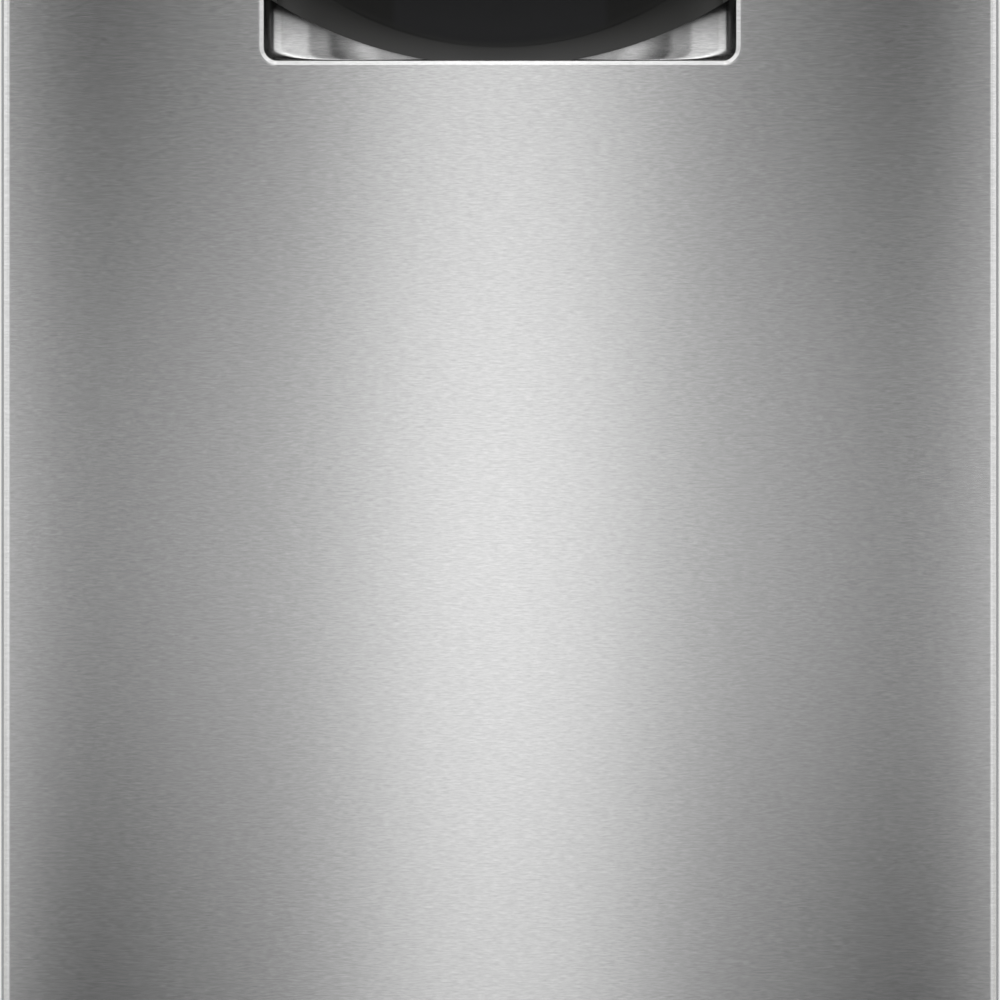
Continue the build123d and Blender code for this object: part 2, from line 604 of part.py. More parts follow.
def upper_feed_pipe():
    """Duct under the upper rack that carries water to the upper spray arm's pin."""
    duct = block(
        (-FEED_HALF_WIDTH, 0, FEED_Z - FEED_HALF_HEIGHT),
        (FEED_HALF_WIDTH, PORT_FACE - RUN_GAP, FEED_Z + FEED_HALF_HEIGHT),
    )
    arm_low = UPPER_ARM_TOP - UPPER_ARM_THICK
    duct += rod_z(FEED_HUB, UPPER_ARM_TOP + ARM_GAP, FEED_Z + FEED_HALF_HEIGHT, 0, 0)
    duct += rod_z(FEED_PIN, arm_low - ARM_GAP, FEED_Z, 0, 0)
    return duct + rod_z(FEED_NUT, arm_low - ARM_GAP - FEED_NUT_HEIGHT, arm_low - ARM_GAP, 0, 0)


# Racks: coated wire, here as flat welded grids that meet at the corners
WIRE = 4
LOWER_SIDE_GAP = 23
LOWER_HALF = TUB_HALF - LOWER_SIDE_GAP
LOWER_LIFT = 34
LOWER_FLOOR = TUB_FLOOR + LOWER_LIFT
LOWER_HEIGHT = 88
LOWER_RIM = LOWER_FLOOR + LOWER_HEIGHT
LOWER_COLUMNS = 9
RACK_ROWS = 8
UPPER_SIDE_GAP = 37
UPPER_HALF = TUB_HALF - UPPER_SIDE_GAP
UPPER_FLOOR = FEED_Z + FEED_HALF_HEIGHT + 2 * WIRE
UPPER_HEIGHT = 83
UPPER_RIM = UPPER_FLOOR + UPPER_HEIGHT
UPPER_COLUMNS = 8
WALL_ROWS = 2
BASKET_SIDE_GAP = 10
BASKET_WIDTH = 86
BASKET_FRONT_GAP = 22
BASKET_LENGTH = 240
BASKET_LOW = (LOWER_HALF - BASKET_SIDE_GAP - BASKET_WIDTH, RACK_FRONT + BASKET_FRONT_GAP)
BASKET_HIGH = (LOWER_HALF - BASKET_SIDE_GAP, BASKET_LOW[1] + BASKET_LENGTH)
TINE_ROWS = 4
TINE_SIDE_ROOM = 76
TINE_BASKET_ROOM = 48
TINE_FOLD_ROOM = 12
TINE_ROW_SPAN = BASKET_LOW[0] + LOWER_HALF - TINE_SIDE_ROOM - TINE_BASKET_ROOM
TINE_ROW_PITCH = TINE_ROW_SPAN / (TINE_ROWS - 1)
TINE_HEIGHT = TINE_ROW_PITCH - TINE_FOLD_ROOM
TINE_COUNT = 14
TINE_MARGIN = 16
TINE_X = [TINE_SIDE_ROOM - LOWER_HALF + row * TINE_ROW_PITCH for row in range(TINE_ROWS)]
FIXED_TINE_X = TINE_X[2:]
FOLD_TINE_X = TINE_X[:2]
FOLD_ROD = 2.2
CLIP_LENGTH = 7
CLIP_HALF = 5
UPPER_TINE_HEIGHT = 44
UPPER_TINE_COUNT = 12
UPPER_TINE_INSET = 136
UPPER_TINE_X = (UPPER_TINE_INSET - UPPER_HALF, UPPER_HALF - UPPER_TINE_INSET)
SHELF_LIFT = 6
SHELF_ROD_Z = UPPER_RIM + SHELF_LIFT
SHELF_INSET = 7
SHELF_X = UPPER_HALF - SHELF_INSET
SHELF_REACH = 82
SHELF_FRONT_GAP = 32
SHELF_LENGTH = 208
SHELF_FRONT = RACK_FRONT + SHELF_FRONT_GAP
SHELF_REAR = SHELF_FRONT + SHELF_LENGTH
SHELF_COLUMNS = 5
SHELF_ROWS = 2


def grid(width, height, columns, rows):
    """Flat welded grid: a rectangle with a window between each pair of wires."""
    pitch_x = (width - WIRE) / columns
    pitch_y = (height - WIRE) / rows
    window = Rectangle(pitch_x - WIRE, pitch_y - WIRE)
    places = GridLocations(pitch_x, pitch_y, columns, rows)
    return Rectangle(width, height) - [place * window for place in places]


def tine_row(x, floor, count, height, length):
    """A bar along Y with upright tines standing on it, welded at their feet."""
    half = WIRE / 2
    start = FOLD_MIDDLE - length / 2
    pieces = [block((x - half, start, floor), (x + half, start + length, floor + WIRE))]
    pitch = (length - 2 * TINE_MARGIN) / (count - 1)
    tine = block((-half, -half, floor + WIRE), (half, half, floor + height))
    for place in GridLocations(0, pitch, 1, count):
        pieces.append(Pos(x, FOLD_MIDDLE) * place * tine)
    return pieces


def basket(half, floor, rim, columns):
    """Floor and four walls of a rack, each a flat grid."""
    middle = (RACK_FRONT + RACK_REAR) / 2
    length = RACK_REAR - RACK_FRONT
    height = rim - floor - WIRE
    walls_z = floor + WIRE + height / 2
    panels = [along_z(Pos(0, middle) * grid(2 * half, length, columns, RACK_ROWS), floor, floor + WIRE)]
    side = Pos(middle, walls_z) * grid(length, height, RACK_ROWS, WALL_ROWS)
    end = Pos(0, walls_z) * grid(2 * (half - WIRE), height, columns, WALL_ROWS)
    panels += [along_x(side, half - WIRE, half), along_x(side, -half, WIRE - half)]
    return panels + [along_y(end, RACK_FRONT, RACK_FRONT + WIRE), along_y(end, RACK_REAR - WIRE, RACK_REAR)]


def clip(x, y, z, seat):
    """Small bearing that holds one end of a folding row's rod, standing on its seat."""
    start = y - CLIP_LENGTH / 2
    body = block((x - CLIP_HALF, start, seat), (x + CLIP_HALF, start + CLIP_LENGTH, z + CLIP_HALF))
    return body - rod_y(FOLD_ROD + BEARING_GAP, y - CLIP_LENGTH, y + CLIP_LENGTH, x, z)


FOLD_BAYS = 6
ROW_PITCH = (RACK_REAR - RACK_FRONT - WIRE) / RACK_ROWS
FOLD_LENGTH = FOLD_BAYS * ROW_PITCH - CLIP_LENGTH
FOLD_MIDDLE = (RACK_FRONT + RACK_REAR) / 2
FOLD_LIFT = 3.5
LOWER_DECK = LOWER_FLOOR + WIRE
FOLD_Z = LOWER_DECK + FOLD_LIFT
FOLD_ROD_HALF = FOLD_LENGTH / 2 + CLIP_LENGTH


def folding_tines(x):
    """One folding row: tines on a bar whose round ends turn in two clips."""
    bar, *tines = tine_row(x, FOLD_Z - WIRE / 2, TINE_COUNT, TINE_HEIGHT, FOLD_LENGTH - 2 * CLIP_LENGTH)
    bar += rod_y(FOLD_ROD, FOLD_MIDDLE - FOLD_ROD_HALF, FOLD_MIDDLE + FOLD_ROD_HALF, x, FOLD_Z)
    return [bar, *tines]


# Lower rack's wheels
WHEEL_RADIUS = 18
WHEEL_Z = TUB_FLOOR + WHEEL_RADIUS + RUN_GAP
WHEEL_CLEAR = 4
WHEEL_WIDTH = 9
WHEEL_IN = LOWER_HALF + WHEEL_CLEAR
WHEEL_OUT = WHEEL_IN + WHEEL_WIDTH
WHEEL_HUB = 7
WHEEL_RIM = 14
WHEEL_DISH = 3
WHEEL_SIDES = 32
HEAD_SIDES = 16
AXLE_RADIUS = 3
AXLE_HEAD = 4.6
AXLE_HEAD_THICK = 1.6
WHEEL_PLATE = 2.5
WHEEL_PLATE_HALF = 10
WHEEL_PLATE_DROP = 8
WHEEL_PLATE_RISE = 16
WHEEL_PLATE_TOP = LOWER_FLOOR + WHEEL_PLATE_RISE
WHEEL_END_ROOM = 78
WHEEL_Y = (RACK_FRONT + WHEEL_END_ROOM, RACK_REAR - WHEEL_END_ROOM)


def wheel_carrier(y):
    """Right-hand plate and axle that hold one wheel on the rack's side."""
    plate = block(
        (LOWER_HALF, y - WHEEL_PLATE_HALF, WHEEL_Z - WHEEL_PLATE_DROP),
        (LOWER_HALF + WHEEL_PLATE, y + WHEEL_PLATE_HALF, WHEEL_PLATE_TOP),
    )
    plate += rod_x(AXLE_RADIUS, LOWER_HALF, WHEEL_OUT + RUN_GAP + AXLE_HEAD_THICK, y, WHEEL_Z)
    head = Pos(y, WHEEL_Z) * ring_of_sides(AXLE_HEAD, HEAD_SIDES)
    return plate + along_x(head, WHEEL_OUT + RUN_GAP, WHEEL_OUT + RUN_GAP + AXLE_HEAD_THICK)


def wheel(y):
    """Right-hand wheel, with a hub that keeps it off its plate."""
    place = Pos(y, WHEEL_Z)
    roller = along_x(place * ring_of_sides(WHEEL_RADIUS, WHEEL_SIDES), WHEEL_IN, WHEEL_OUT)
    dish = place * (ring_of_sides(WHEEL_RIM, HEAD_SIDES) - ring_of_sides(WHEEL_HUB, HEAD_SIDES))
    roller -= along_x(dish, WHEEL_OUT - WHEEL_DISH, WHEEL_OUT + OVERRUN)
    hub = place * ring_of_sides(WHEEL_HUB, HEAD_SIDES)
    roller += along_x(hub, LOWER_HALF + WHEEL_PLATE + RUN_GAP, WHEEL_OUT)
    return roller - rod_x(AXLE_RADIUS + BEARING_GAP, LOWER_HALF, WHEEL_OUT + OVERRUN, y, WHEEL_Z)


def lower_rack():
    """Lower rack with its fixed tine rows, the clips of the folding rows and the wheel carriers."""
    pieces = basket(LOWER_HALF, LOWER_FLOOR, LOWER_RIM, LOWER_COLUMNS)
    for x in FIXED_TINE_X:
        pieces += tine_row(x, LOWER_DECK, TINE_COUNT, TINE_HEIGHT, FOLD_LENGTH)
    clip_y = FOLD_ROD_HALF - CLIP_LENGTH / 2
    for x in FOLD_TINE_X:
        pieces += [clip(x, FOLD_MIDDLE + end * clip_y, FOLD_Z, LOWER_DECK) for end in SIDES]
    for side in SIDES:
        pieces += [mirrored(side, wheel_carrier(y)) for y in WHEEL_Y]
    return pieces


# Cutlery basket that stands in the lower rack
BASKET_BOTTOM = LOWER_DECK + RUN_GAP
BASKET_HEIGHT = 126
BASKET_TOP = LOWER_FLOOR + BASKET_HEIGHT
BASKET_WALL = 2
BASKET_SLOTS = 12
BASKET_END_SLOTS = 4
BASKET_BAND = 14
HANDLE_RISE = 36
HANDLE_TOP = BASKET_TOP + HANDLE_RISE
HANDLE_HALF = 46
HANDLE_BAR = 9


def cutlery_basket():
    """Open basket with slotted walls, a middle divider and a carrying handle."""
    (x0, y0), (x1, y1) = BASKET_LOW, BASKET_HIGH
    bin_ = block((x0, y0, BASKET_BOTTOM), (x1, y1, BASKET_TOP))
    bin_ -= block(
        (x0 + BASKET_WALL, y0 + BASKET_WALL, BASKET_BOTTOM + BASKET_WALL),
        (x1 - BASKET_WALL, y1 - BASKET_WALL, BASKET_TOP + OVERRUN),
    )
    mid_x, mid_y, mid_z = (x0 + x1) / 2, (y0 + y1) / 2, (BASKET_BOTTOM + BASKET_TOP) / 2
    slot_height = BASKET_TOP - BASKET_BOTTOM - 2 * BASKET_BAND
    pitch_y = (y1 - y0) / (BASKET_SLOTS + 1)
    slot = Rectangle(pitch_y / 2, slot_height)
    for place in GridLocations(pitch_y, 0, BASKET_SLOTS, 1):
        bin_ -= along_x(Pos(mid_y, mid_z) * place * slot, x0 - OVERRUN, x1 + OVERRUN)
    pitch_x = (x1 - x0) / (BASKET_END_SLOTS + 1)
    end_slot = Rectangle(pitch_x / 2, slot_height)
    for place in GridLocations(pitch_x, 0, BASKET_END_SLOTS, 1):
        bin_ -= along_y(Pos(mid_x, mid_z) * place * end_slot, y0 - OVERRUN, y1 + OVERRUN)
    arch = rectangle((mid_y - HANDLE_HALF, BASKET_BOTTOM), (mid_y + HANDLE_HALF, HANDLE_TOP))
    arch = fillet(arch.vertices().group_by(Axis.Y)[-1], HANDLE_HALF / 2)
    arch -= rectangle(
        (mid_y - HANDLE_HALF + HANDLE_BAR, BASKET_TOP - BASKET_BAND),
        (mid_y + HANDLE_HALF - HANDLE_BAR, HANDLE_TOP - HANDLE_BAR),
    )
    return bin_ + along_x(arch, mid_x - BASKET_WALL, mid_x + BASKET_WALL)


# Telescopic rails of the upper rack
RAIL_HALF = 13
RAIL_DEPTH = 8
RAIL_WALL = 1.5
RAIL_FRONT = RACK_FRONT + 2 * RAIL_WALL
RAIL_REAR = RACK_REAR - 2 * RAIL_WALL
RAIL_GAP = 0.4
CARRIER_END_ROOM = 50
CARRIER_HALF_LENGTH = FOLD_LENGTH / 2 - CARRIER_END_ROOM
CARRIER_HALF_HEIGHT = 17
CARRIER_IN = UPPER_HALF
CARRIER_WALL = 3
SLIDE_HALF = RAIL_HALF - RAIL_WALL - RAIL_GAP
SLIDE_OUT = TUB_HALF - RAIL_WALL - RAIL_GAP
SLIDE_IN = TUB_HALF - RAIL_DEPTH
RUNNER_HALF = SLIDE_HALF - RAIL_WALL - RAIL_GAP
RUNNER_OUT = SLIDE_OUT - RAIL_WALL - RAIL_GAP
RUNNER_IN = SLIDE_IN - RAIL_DEPTH / 2


def channel(inner_x, outer_x, half):
    """Right-hand rail of C section, open towards the middle of the machine."""
    profile = block((inner_x, RAIL_FRONT, RAIL_Z - half), (outer_x, RAIL_REAR, RAIL_Z + half))
    return profile - block(
        (inner_x - OVERRUN, RAIL_FRONT - OVERRUN, RAIL_Z - half + RAIL_WALL),
        (outer_x - RAIL_WALL, RAIL_REAR + OVERRUN, RAIL_Z + half - RAIL_WALL),
    )


def runner():
    """Right-hand runner, and the carrier that clips it to the rack's side."""
    bar = block((RUNNER_IN, RAIL_FRONT, RAIL_Z - RUNNER_HALF), (RUNNER_OUT, RAIL_REAR, RAIL_Z + RUNNER_HALF))
    low, high = RAIL_Z - CARRIER_HALF_HEIGHT, RAIL_Z + CARRIER_HALF_HEIGHT
    outline = rectangle((CARRIER_IN, low), (RUNNER_IN, high))
    outline = fillet(outline.vertices().group_by(Axis.X)[-1], CARRIER_WALL)
    hollow = rectangle(
        (CARRIER_IN + CARRIER_WALL, low + CARRIER_WALL),
        (RUNNER_IN - CARRIER_WALL, high - CARRIER_WALL),
    )
    start = FOLD_MIDDLE - CARRIER_HALF_LENGTH
    return [bar, along_y(outline - hollow, start, FOLD_MIDDLE + CARRIER_HALF_LENGTH)]


def upper_rack():
    """Upper rack with its tine rows, shelf clips, duct seat and runners."""
    pieces = basket(UPPER_HALF, UPPER_FLOOR, UPPER_RIM, UPPER_COLUMNS)
    deck = UPPER_FLOOR + WIRE
    for x in UPPER_TINE_X:
        pieces += tine_row(x, deck, UPPER_TINE_COUNT, UPPER_TINE_HEIGHT, FOLD_LENGTH)
    for side in SIDES:
        pieces += [mirrored(side, piece) for piece in runner()]
        for y in (SHELF_FRONT + CLIP_LENGTH, SHELF_REAR - CLIP_LENGTH):
            foot_clip = clip(SHELF_X, y, SHELF_ROD_Z, UPPER_RIM)
            step_top = UPPER_RIM + CLIP_HALF / 2
            half = CLIP_LENGTH / 2
            step = block((SHELF_X, y - half, UPPER_RIM), (UPPER_HALF, y + half, step_top))
            bore = rod_y(FOLD_ROD + BEARING_GAP, y - CLIP_LENGTH, y + CLIP_LENGTH, SHELF_X, SHELF_ROD_Z)
            foot_clip += step - bore
            pieces.append(mirrored(side, foot_clip))
    strap_half = FEED_HALF_WIDTH + WIRE
    duct_top = FEED_Z + FEED_HALF_HEIGHT
    return [*pieces, block((-strap_half, 2 * FEED_HUB, duct_top), (strap_half, 3 * FEED_HUB, UPPER_FLOOR))]


def cup_shelf():
    """Right-hand cup shelf, folded up, on the rod that it turns on."""
    length = SHELF_REAR - SHELF_FRONT - 4 * CLIP_LENGTH
    middle = (SHELF_FRONT + SHELF_REAR) / 2
    face = Pos(middle, SHELF_ROD_Z + SHELF_REACH / 2) * grid(length, SHELF_REACH, SHELF_COLUMNS, SHELF_ROWS)
    panel = along_x(face, SHELF_X - WIRE / 2, SHELF_X + WIRE / 2)
    return panel + rod_y(FOLD_ROD, SHELF_FRONT, SHELF_REAR, SHELF_X, SHELF_ROD_Z)


# Door front: steel skin with the stamped pocket handle
FASCIA_HEIGHT = 79
SKIN_TOP = DOOR_TOP - FASCIA_HEIGHT
SKIN_EDGE = 4
SKIN_BACK = DOOR_INNER_Y - 2 * SHEET
HINGE_ROOM = 4
LINER_HALF = TRAY_HALF - HINGE_ROOM
RETURN_HALF = LINER_HALF + SHEET
FOLD_DEPTH = 14
FOLD_FRONT = DOOR_INNER_Y - FOLD_DEPTH
RETURN_BOTTOM = TRIM_BOTTOM
BOTTOM_FLANGE_INSET = 12
BOTTOM_FLANGE_HALF = TRAY_HALF - BOTTOM_FLANGE_INSET
POCKET_HALF = 141.5
POCKET_DROP = 56.4
POCKET_FLOOR = SKIN_TOP - POCKET_DROP
POCKET_DEPTH = 34
POCKET_CORNER = 8
POCKET_CURVE_LENGTH = 70
POCKET_CURVE_DEPTH = 29
POCKET_HEEL = 7
POCKET_LIP = 3
HOOD_RISE = 31
HOOD_TOP = SKIN_TOP + HOOD_RISE
GRIP_WALL = 4
GRIP_STEP = 1.5
GRIP_ARC = 258.4
GRIP_ARC_LOW = POCKET_FLOOR - POCKET_LIP
GRIP_INNER_ARC = 192
GRIP_BAND = 11.2
GRIP_INNER_LOW = GRIP_ARC_LOW + GRIP_BAND
WELL_HALF = 64.5
WELL_RISE = 13.2
WELL_LOW = GRIP_INNER_LOW + WELL_RISE


def pocket(grow, top):
    """The hollow of the handle recess, grown by a wall: long curves at its sides, a tight one below."""
    half = POCKET_HALF + grow
    low = POCKET_FLOOR - grow
    front = FRONT_Y - OVERRUN
    back = FRONT_Y + POCKET_DEPTH + grow
    outline = rectangle((-half, low), (half, top))
    outline = fillet(outline.vertices().group_by(Axis.Y)[0], POCKET_CORNER + grow)
    curve_length = POCKET_CURVE_LENGTH + grow
    curve_depth = POCKET_CURVE_DEPTH + grow
    plan = rectangle((-half, front), (half, back - curve_depth))
    plan += rectangle((curve_length - half, front), (half - curve_length, back))
    for x in (curve_length - half, half - curve_length):
        plan += Pos(x, back - curve_depth) * Ellipse(curve_length, curve_depth)
    side = rectangle((front, low), (back, top))
    side = fillet(side.vertices().group_by(Axis.X)[-1].group_by(Axis.Y)[0], POCKET_HEEL + grow)
    hollow = along_y(outline, front, back) & along_z(plan, low, top)
    return hollow & along_x(side, -half, half)


def pressed_front(inset, bottom, top, back):
    """Outside of the door front, or its inside where inset is the sheet, with its rounded long edges."""
    half = DOOR_HALF - inset
    body = block((-half, FRONT_Y + inset, bottom), (half, back, top))
    return fillet(body.edges().filter_by(Axis.Z).group_by(Axis.Y)[0], SKIN_EDGE - inset)


def rolled_lip(body, front, radius):
    """Rounds the edge where the door front turns into the pocket."""
    reach = POCKET_HALF + 2 * POCKET_LIP
    low = POCKET_FLOOR - 2 * POCKET_LIP
    edges = [
        e
        for e in body.edges()
        if abs(e.center().Y - front) < BEARING_GAP and abs(e.center().X) < reach and e.center().Z > low
        and e.center().Z < SKIN_TOP - SHEET - BEARING_GAP
    ]
    return fillet(edges, radius)


def door_skin():
    """Steel front, one pressing: rounded edges, folded returns and the pocket."""
    outside = pressed_front(0, DOOR_BOTTOM, SKIN_TOP, SKIN_BACK) - pocket(0, SKIN_TOP + OVERRUN)
    outside = rolled_lip(outside, FRONT_Y, POCKET_LIP)
    inside = pressed_front(SHEET, DOOR_BOTTOM + SHEET, SKIN_TOP - SHEET, SKIN_BACK - SHEET)
    inside -= pocket(SHEET, SKIN_TOP + OVERRUN)
    inside = rolled_lip(inside, FRONT_Y + SHEET, POCKET_LIP - SHEET)
    skin = outside - inside
    past = SKIN_BACK + OVERRUN
    back = SKIN_BACK - 2 * SHEET
    between = block((-RETURN_HALF, back, RETURN_BOTTOM), (RETURN_HALF, past, SKIN_TOP - SHEET))
    skin -= between - pocket(SHEET, SKIN_TOP + OVERRUN)
    skin -= block((-RETURN_HALF, FOLD_FRONT, SKIN_TOP - 2 * SHEET), (RETURN_HALF, past, SKIN_TOP + OVERRUN))
    skin -= block(
        (-DOOR_HALF + SHEET, back, DOOR_BOTTOM + SHEET),
        (DOOR_HALF - SHEET, past, RETURN_BOTTOM),
    )
    for side in SIDES:
        notch = block(
            (BOTTOM_FLANGE_HALF, FRONT_Y + SKIN_EDGE, DOOR_BOTTOM - OVERRUN),
            (DOOR_HALF - SHEET, past, DOOR_BOTTOM + 2 * SHEET),
        )
        skin -= mirrored(side, notch)
    return skin


def disc(radius, low):
    """A tall round prism along Y whose lowest point is at the given height."""
    return rod_y(radius, FRONT_Y - OVERRUN, DOOR_INNER_Y, 0, low + radius)


def handle_grip():
    """Black moulding that lines the pocket above an arc and forms the finger hood behind the fascia."""
    wide = disc(GRIP_ARC, GRIP_ARC_LOW)
    body = pocket(0, HOOD_TOP) & wide
    body -= pocket(-GRIP_WALL, HOOD_TOP - GRIP_WALL)
    body -= pocket(GRIP_STEP - GRIP_WALL, HOOD_TOP - GRIP_WALL) & disc(GRIP_INNER_ARC, GRIP_INNER_LOW)
    well = block((-WELL_HALF, FRONT_Y, WELL_LOW), (WELL_HALF, DOOR_INNER_Y, HOOD_TOP - GRIP_WALL))
    body -= pocket(2 * GRIP_STEP - GRIP_WALL, HOOD_TOP - GRIP_WALL) & well
    grip_front = FRONT_Y + FASCIA_WALL + RUN_GAP
    return body - block((-DOOR_HALF, FRONT_Y - 2 * OVERRUN, DOOR_BOTTOM), (DOOR_HALF, grip_front, HEIGHT))


# Control fascia above the skin
FASCIA_GAP = 0.6
FASCIA_WALL = 2.5
FASCIA_BOTTOM = SKIN_TOP + FASCIA_GAP
FASCIA_NOTCH_CLEAR = 4
FASCIA_NOTCH = POCKET_HALF + FASCIA_NOTCH_CLEAR
KEY_DROP = 29
KEY_Z = DOOR_TOP - KEY_DROP
KEY_LENGTH = 22
KEY_HEIGHT = 11
KEY_CORNER = 2.5
KEY_GAP = 0.25
KEY_RIM = 1.2
KEY_TRAVEL = 1.5
MODULE_INSET = 13.7
MODULE_HALF = DOOR_HALF - MODULE_INSET
KEY_END_ROOM = 20
KEY_GROUP_GAP = 68
KEY_PITCH = 46
START_X = MODULE_HALF - KEY_END_ROOM
POWER_X = -START_X
OUTER_KEY_X = START_X - KEY_GROUP_GAP
INNER_KEY_X = OUTER_KEY_X - KEY_PITCH
KEY_X = (-OUTER_KEY_X, -INNER_KEY_X, INNER_KEY_X, OUTER_KEY_X)
DISPLAY_KEY_GAP = 62
DISPLAY_HALF = INNER_KEY_X - DISPLAY_KEY_GAP
DISPLAY_HALF_HEIGHT = 17
DISPLAY_LOW = KEY_Z - DISPLAY_HALF_HEIGHT
DISPLAY_HIGH = KEY_Z + DISPLAY_HALF_HEIGHT
DISPLAY_THICK = 2
MODULE_LIFT = 5
MODULE_LOW = HOOD_TOP + MODULE_LIFT
MODULE_DROP = 8
MODULE_HIGH = DOOR_TOP - MODULE_DROP
MODULE_THICK = 12
MODULE_ROOM = 8
MODULE_FRONT = FRONT_Y + FASCIA_WALL + MODULE_ROOM
SCREW_POST = 4


def key_outline(gap):
    """Outline of a key with its corners cut, or of its hole where gap is the clearance."""
    outline = Rectangle(KEY_LENGTH + 2 * gap, KEY_HEIGHT + 2 * gap)
    return chamfer(outline.vertices(), KEY_CORNER)


def fascia():
    """Control panel moulding with key holes, display window and posts for the control module."""
    outside = pressed_front(0, FASCIA_BOTTOM, DOOR_TOP, SKIN_BACK)
    past = SKIN_BACK + OVERRUN
    inside = pressed_front(FASCIA_WALL, FASCIA_BOTTOM + FASCIA_WALL, DOOR_TOP - FASCIA_WALL, past)
    panel = outside - inside
    panel -= block(
        (-FASCIA_NOTCH, FRONT_Y + FASCIA_WALL, FASCIA_BOTTOM - OVERRUN),
        (FASCIA_NOTCH, past, FASCIA_BOTTOM + 2 * FASCIA_WALL),
    )
    panel -= block((-RETURN_HALF, FOLD_FRONT, FASCIA_BOTTOM - OVERRUN), (RETURN_HALF, past, KEY_Z))
    for x in (POWER_X, *KEY_X, START_X):
        panel -= along_y(Pos(x, KEY_Z) * key_outline(KEY_GAP), FRONT_Y - OVERRUN, FRONT_Y + 2 * FASCIA_WALL)
    window = rectangle((-DISPLAY_HALF, DISPLAY_LOW), (DISPLAY_HALF, DISPLAY_HIGH))
    panel -= along_y(window, FRONT_Y - OVERRUN, FRONT_Y + 2 * FASCIA_WALL)
    for x in (-DISPLAY_HALF - 4 * SCREW_POST, DISPLAY_HALF + 4 * SCREW_POST):
        panel += rod_y(SCREW_POST, FRONT_Y + FASCIA_WALL, MODULE_FRONT, x, KEY_Z)
    return panel


def display_window():
    """Dark glass of the display, flush in the fascia, with a rim behind the hole's edge."""
    centre = Pos(0, KEY_Z)
    flush = centre * Rectangle(2 * (DISPLAY_HALF - KEY_GAP), 2 * (DISPLAY_HALF_HEIGHT - KEY_GAP))
    glass = along_y(flush, FRONT_Y, FRONT_Y + FASCIA_WALL)
    rim = centre * Rectangle(2 * (DISPLAY_HALF + KEY_RIM), 2 * (DISPLAY_HALF_HEIGHT + KEY_RIM))
    return glass + along_y(rim, FRONT_Y + FASCIA_WALL, FRONT_Y + FASCIA_WALL + DISPLAY_THICK)


def key(x):
    """Push button: a cap, a rim behind the fascia and a plunger that ends short of the module."""
    cap = along_y(Pos(x, KEY_Z) * key_outline(0), FRONT_Y - KEY_PROUD, FRONT_Y + FASCIA_WALL + RUN_GAP)
    cap = chamfer(cap.faces().sort_by(Axis.Y)[0].edges(), KEY_PROUD / 2)
    rim_front = FRONT_Y + FASCIA_WALL + RUN_GAP
    cap += along_y(Pos(x, KEY_Z) * key_outline(KEY_RIM), rim_front, rim_front + KEY_RIM)
    plunger = Pos(x, KEY_Z) * Rectangle(KEY_HEIGHT / 2, KEY_HEIGHT / 2)
    return cap + along_y(plunger, rim_front, MODULE_FRONT - KEY_TRAVEL - RUN_GAP)


def control_module():
    """Closed housing of the electronics behind the fascia."""
    module_back = MODULE_FRONT + MODULE_THICK
    return block((-MODULE_HALF, MODULE_FRONT, MODULE_LOW), (MODULE_HALF, module_back, MODULE_HIGH))


# Inner side of the door
LINER_RISE = 18
LINER_BOTTOM = DOOR_BOTTOM + LINER_RISE
LINER_DROP = 6
LINER_TOP = DOOR_TOP - LINER_DROP
LINER_FOLD = 13
PANEL_INSET = 27
PANEL_HALF = TUB_HALF - PANEL_INSET
PANEL_FROM_BOTTOM = 46
PANEL_LOW = LINER_BOTTOM + PANEL_FROM_BOTTOM
PANEL_FROM_TOP = 44
PANEL_HIGH = LINER_TOP - PANEL_FROM_TOP
PANEL_RISE = 3
PANEL_ROUND = 20
DISPENSER_LOW = (-62, 300)
DISPENSER_HIGH = (112, 444)
DISPENSER_REACH = 22
DISPENSER_RIM = 4
DISPENSER_FACE = 5
CHAMBER_LOW = (-46, 384)
CHAMBER_HIGH = (18, 436)
CHAMBER_WALL = 3
LID_RIM = 4
LID_THICK = 2.4
LID_TRAVEL = 58
LID_GUIDE = 3
CAP_X = 74
CAP_Z = 400
CAP_RADIUS = 18
CAP_HEIGHT = 5
LATCH_HALF = 30
STRIKE_DROP = 10
STRIKE_Z = DOOR_TOP - STRIKE_DROP
LATCH_BELOW = 23
LATCH_LOW = STRIKE_Z - LATCH_BELOW
LATCH_TOP_GAP = 4
LATCH_HIGH = DOOR_TOP - LATCH_TOP_GAP
LATCH_DEPTH = 21
LATCH_WALL = 2
STRIKE_HALF = 9
STRIKE_THICK = 3
STRIKE_REACH = 14
CLAW_HALF = 7
CLAW_PIN = 2.5
CLAW_INSET = 15
CLAW_Y = DOOR_INNER_Y - CLAW_INSET
CLAW_DROP = 14
CLAW_Z = STRIKE_Z - CLAW_DROP
CLAW_RISE = 10
CLAW_LENGTH = 11
SEAL_INSET = 3
SEAL_HALF = TUB_HALF - SEAL_INSET
SEAL_HEIGHT = 10
SEAL_REACH = 5.2


def liner_body(inset):
    """Outside of the door liner, or its inside where inset is the sheet, with its raised panel."""
    half = LINER_HALF - inset
    face = DOOR_INNER_Y - inset
    body = block((-half, face - LINER_FOLD, LINER_BOTTOM + inset), (half, face, LINER_TOP - inset))
    low = (inset - PANEL_HALF, PANEL_LOW + inset)
    high = (PANEL_HALF - inset, PANEL_HIGH - inset)
    raised = rectangle(low, high)
    raised = fillet(raised.vertices(), PANEL_ROUND - inset)
    return body + along_y(raised, face, face + PANEL_RISE)


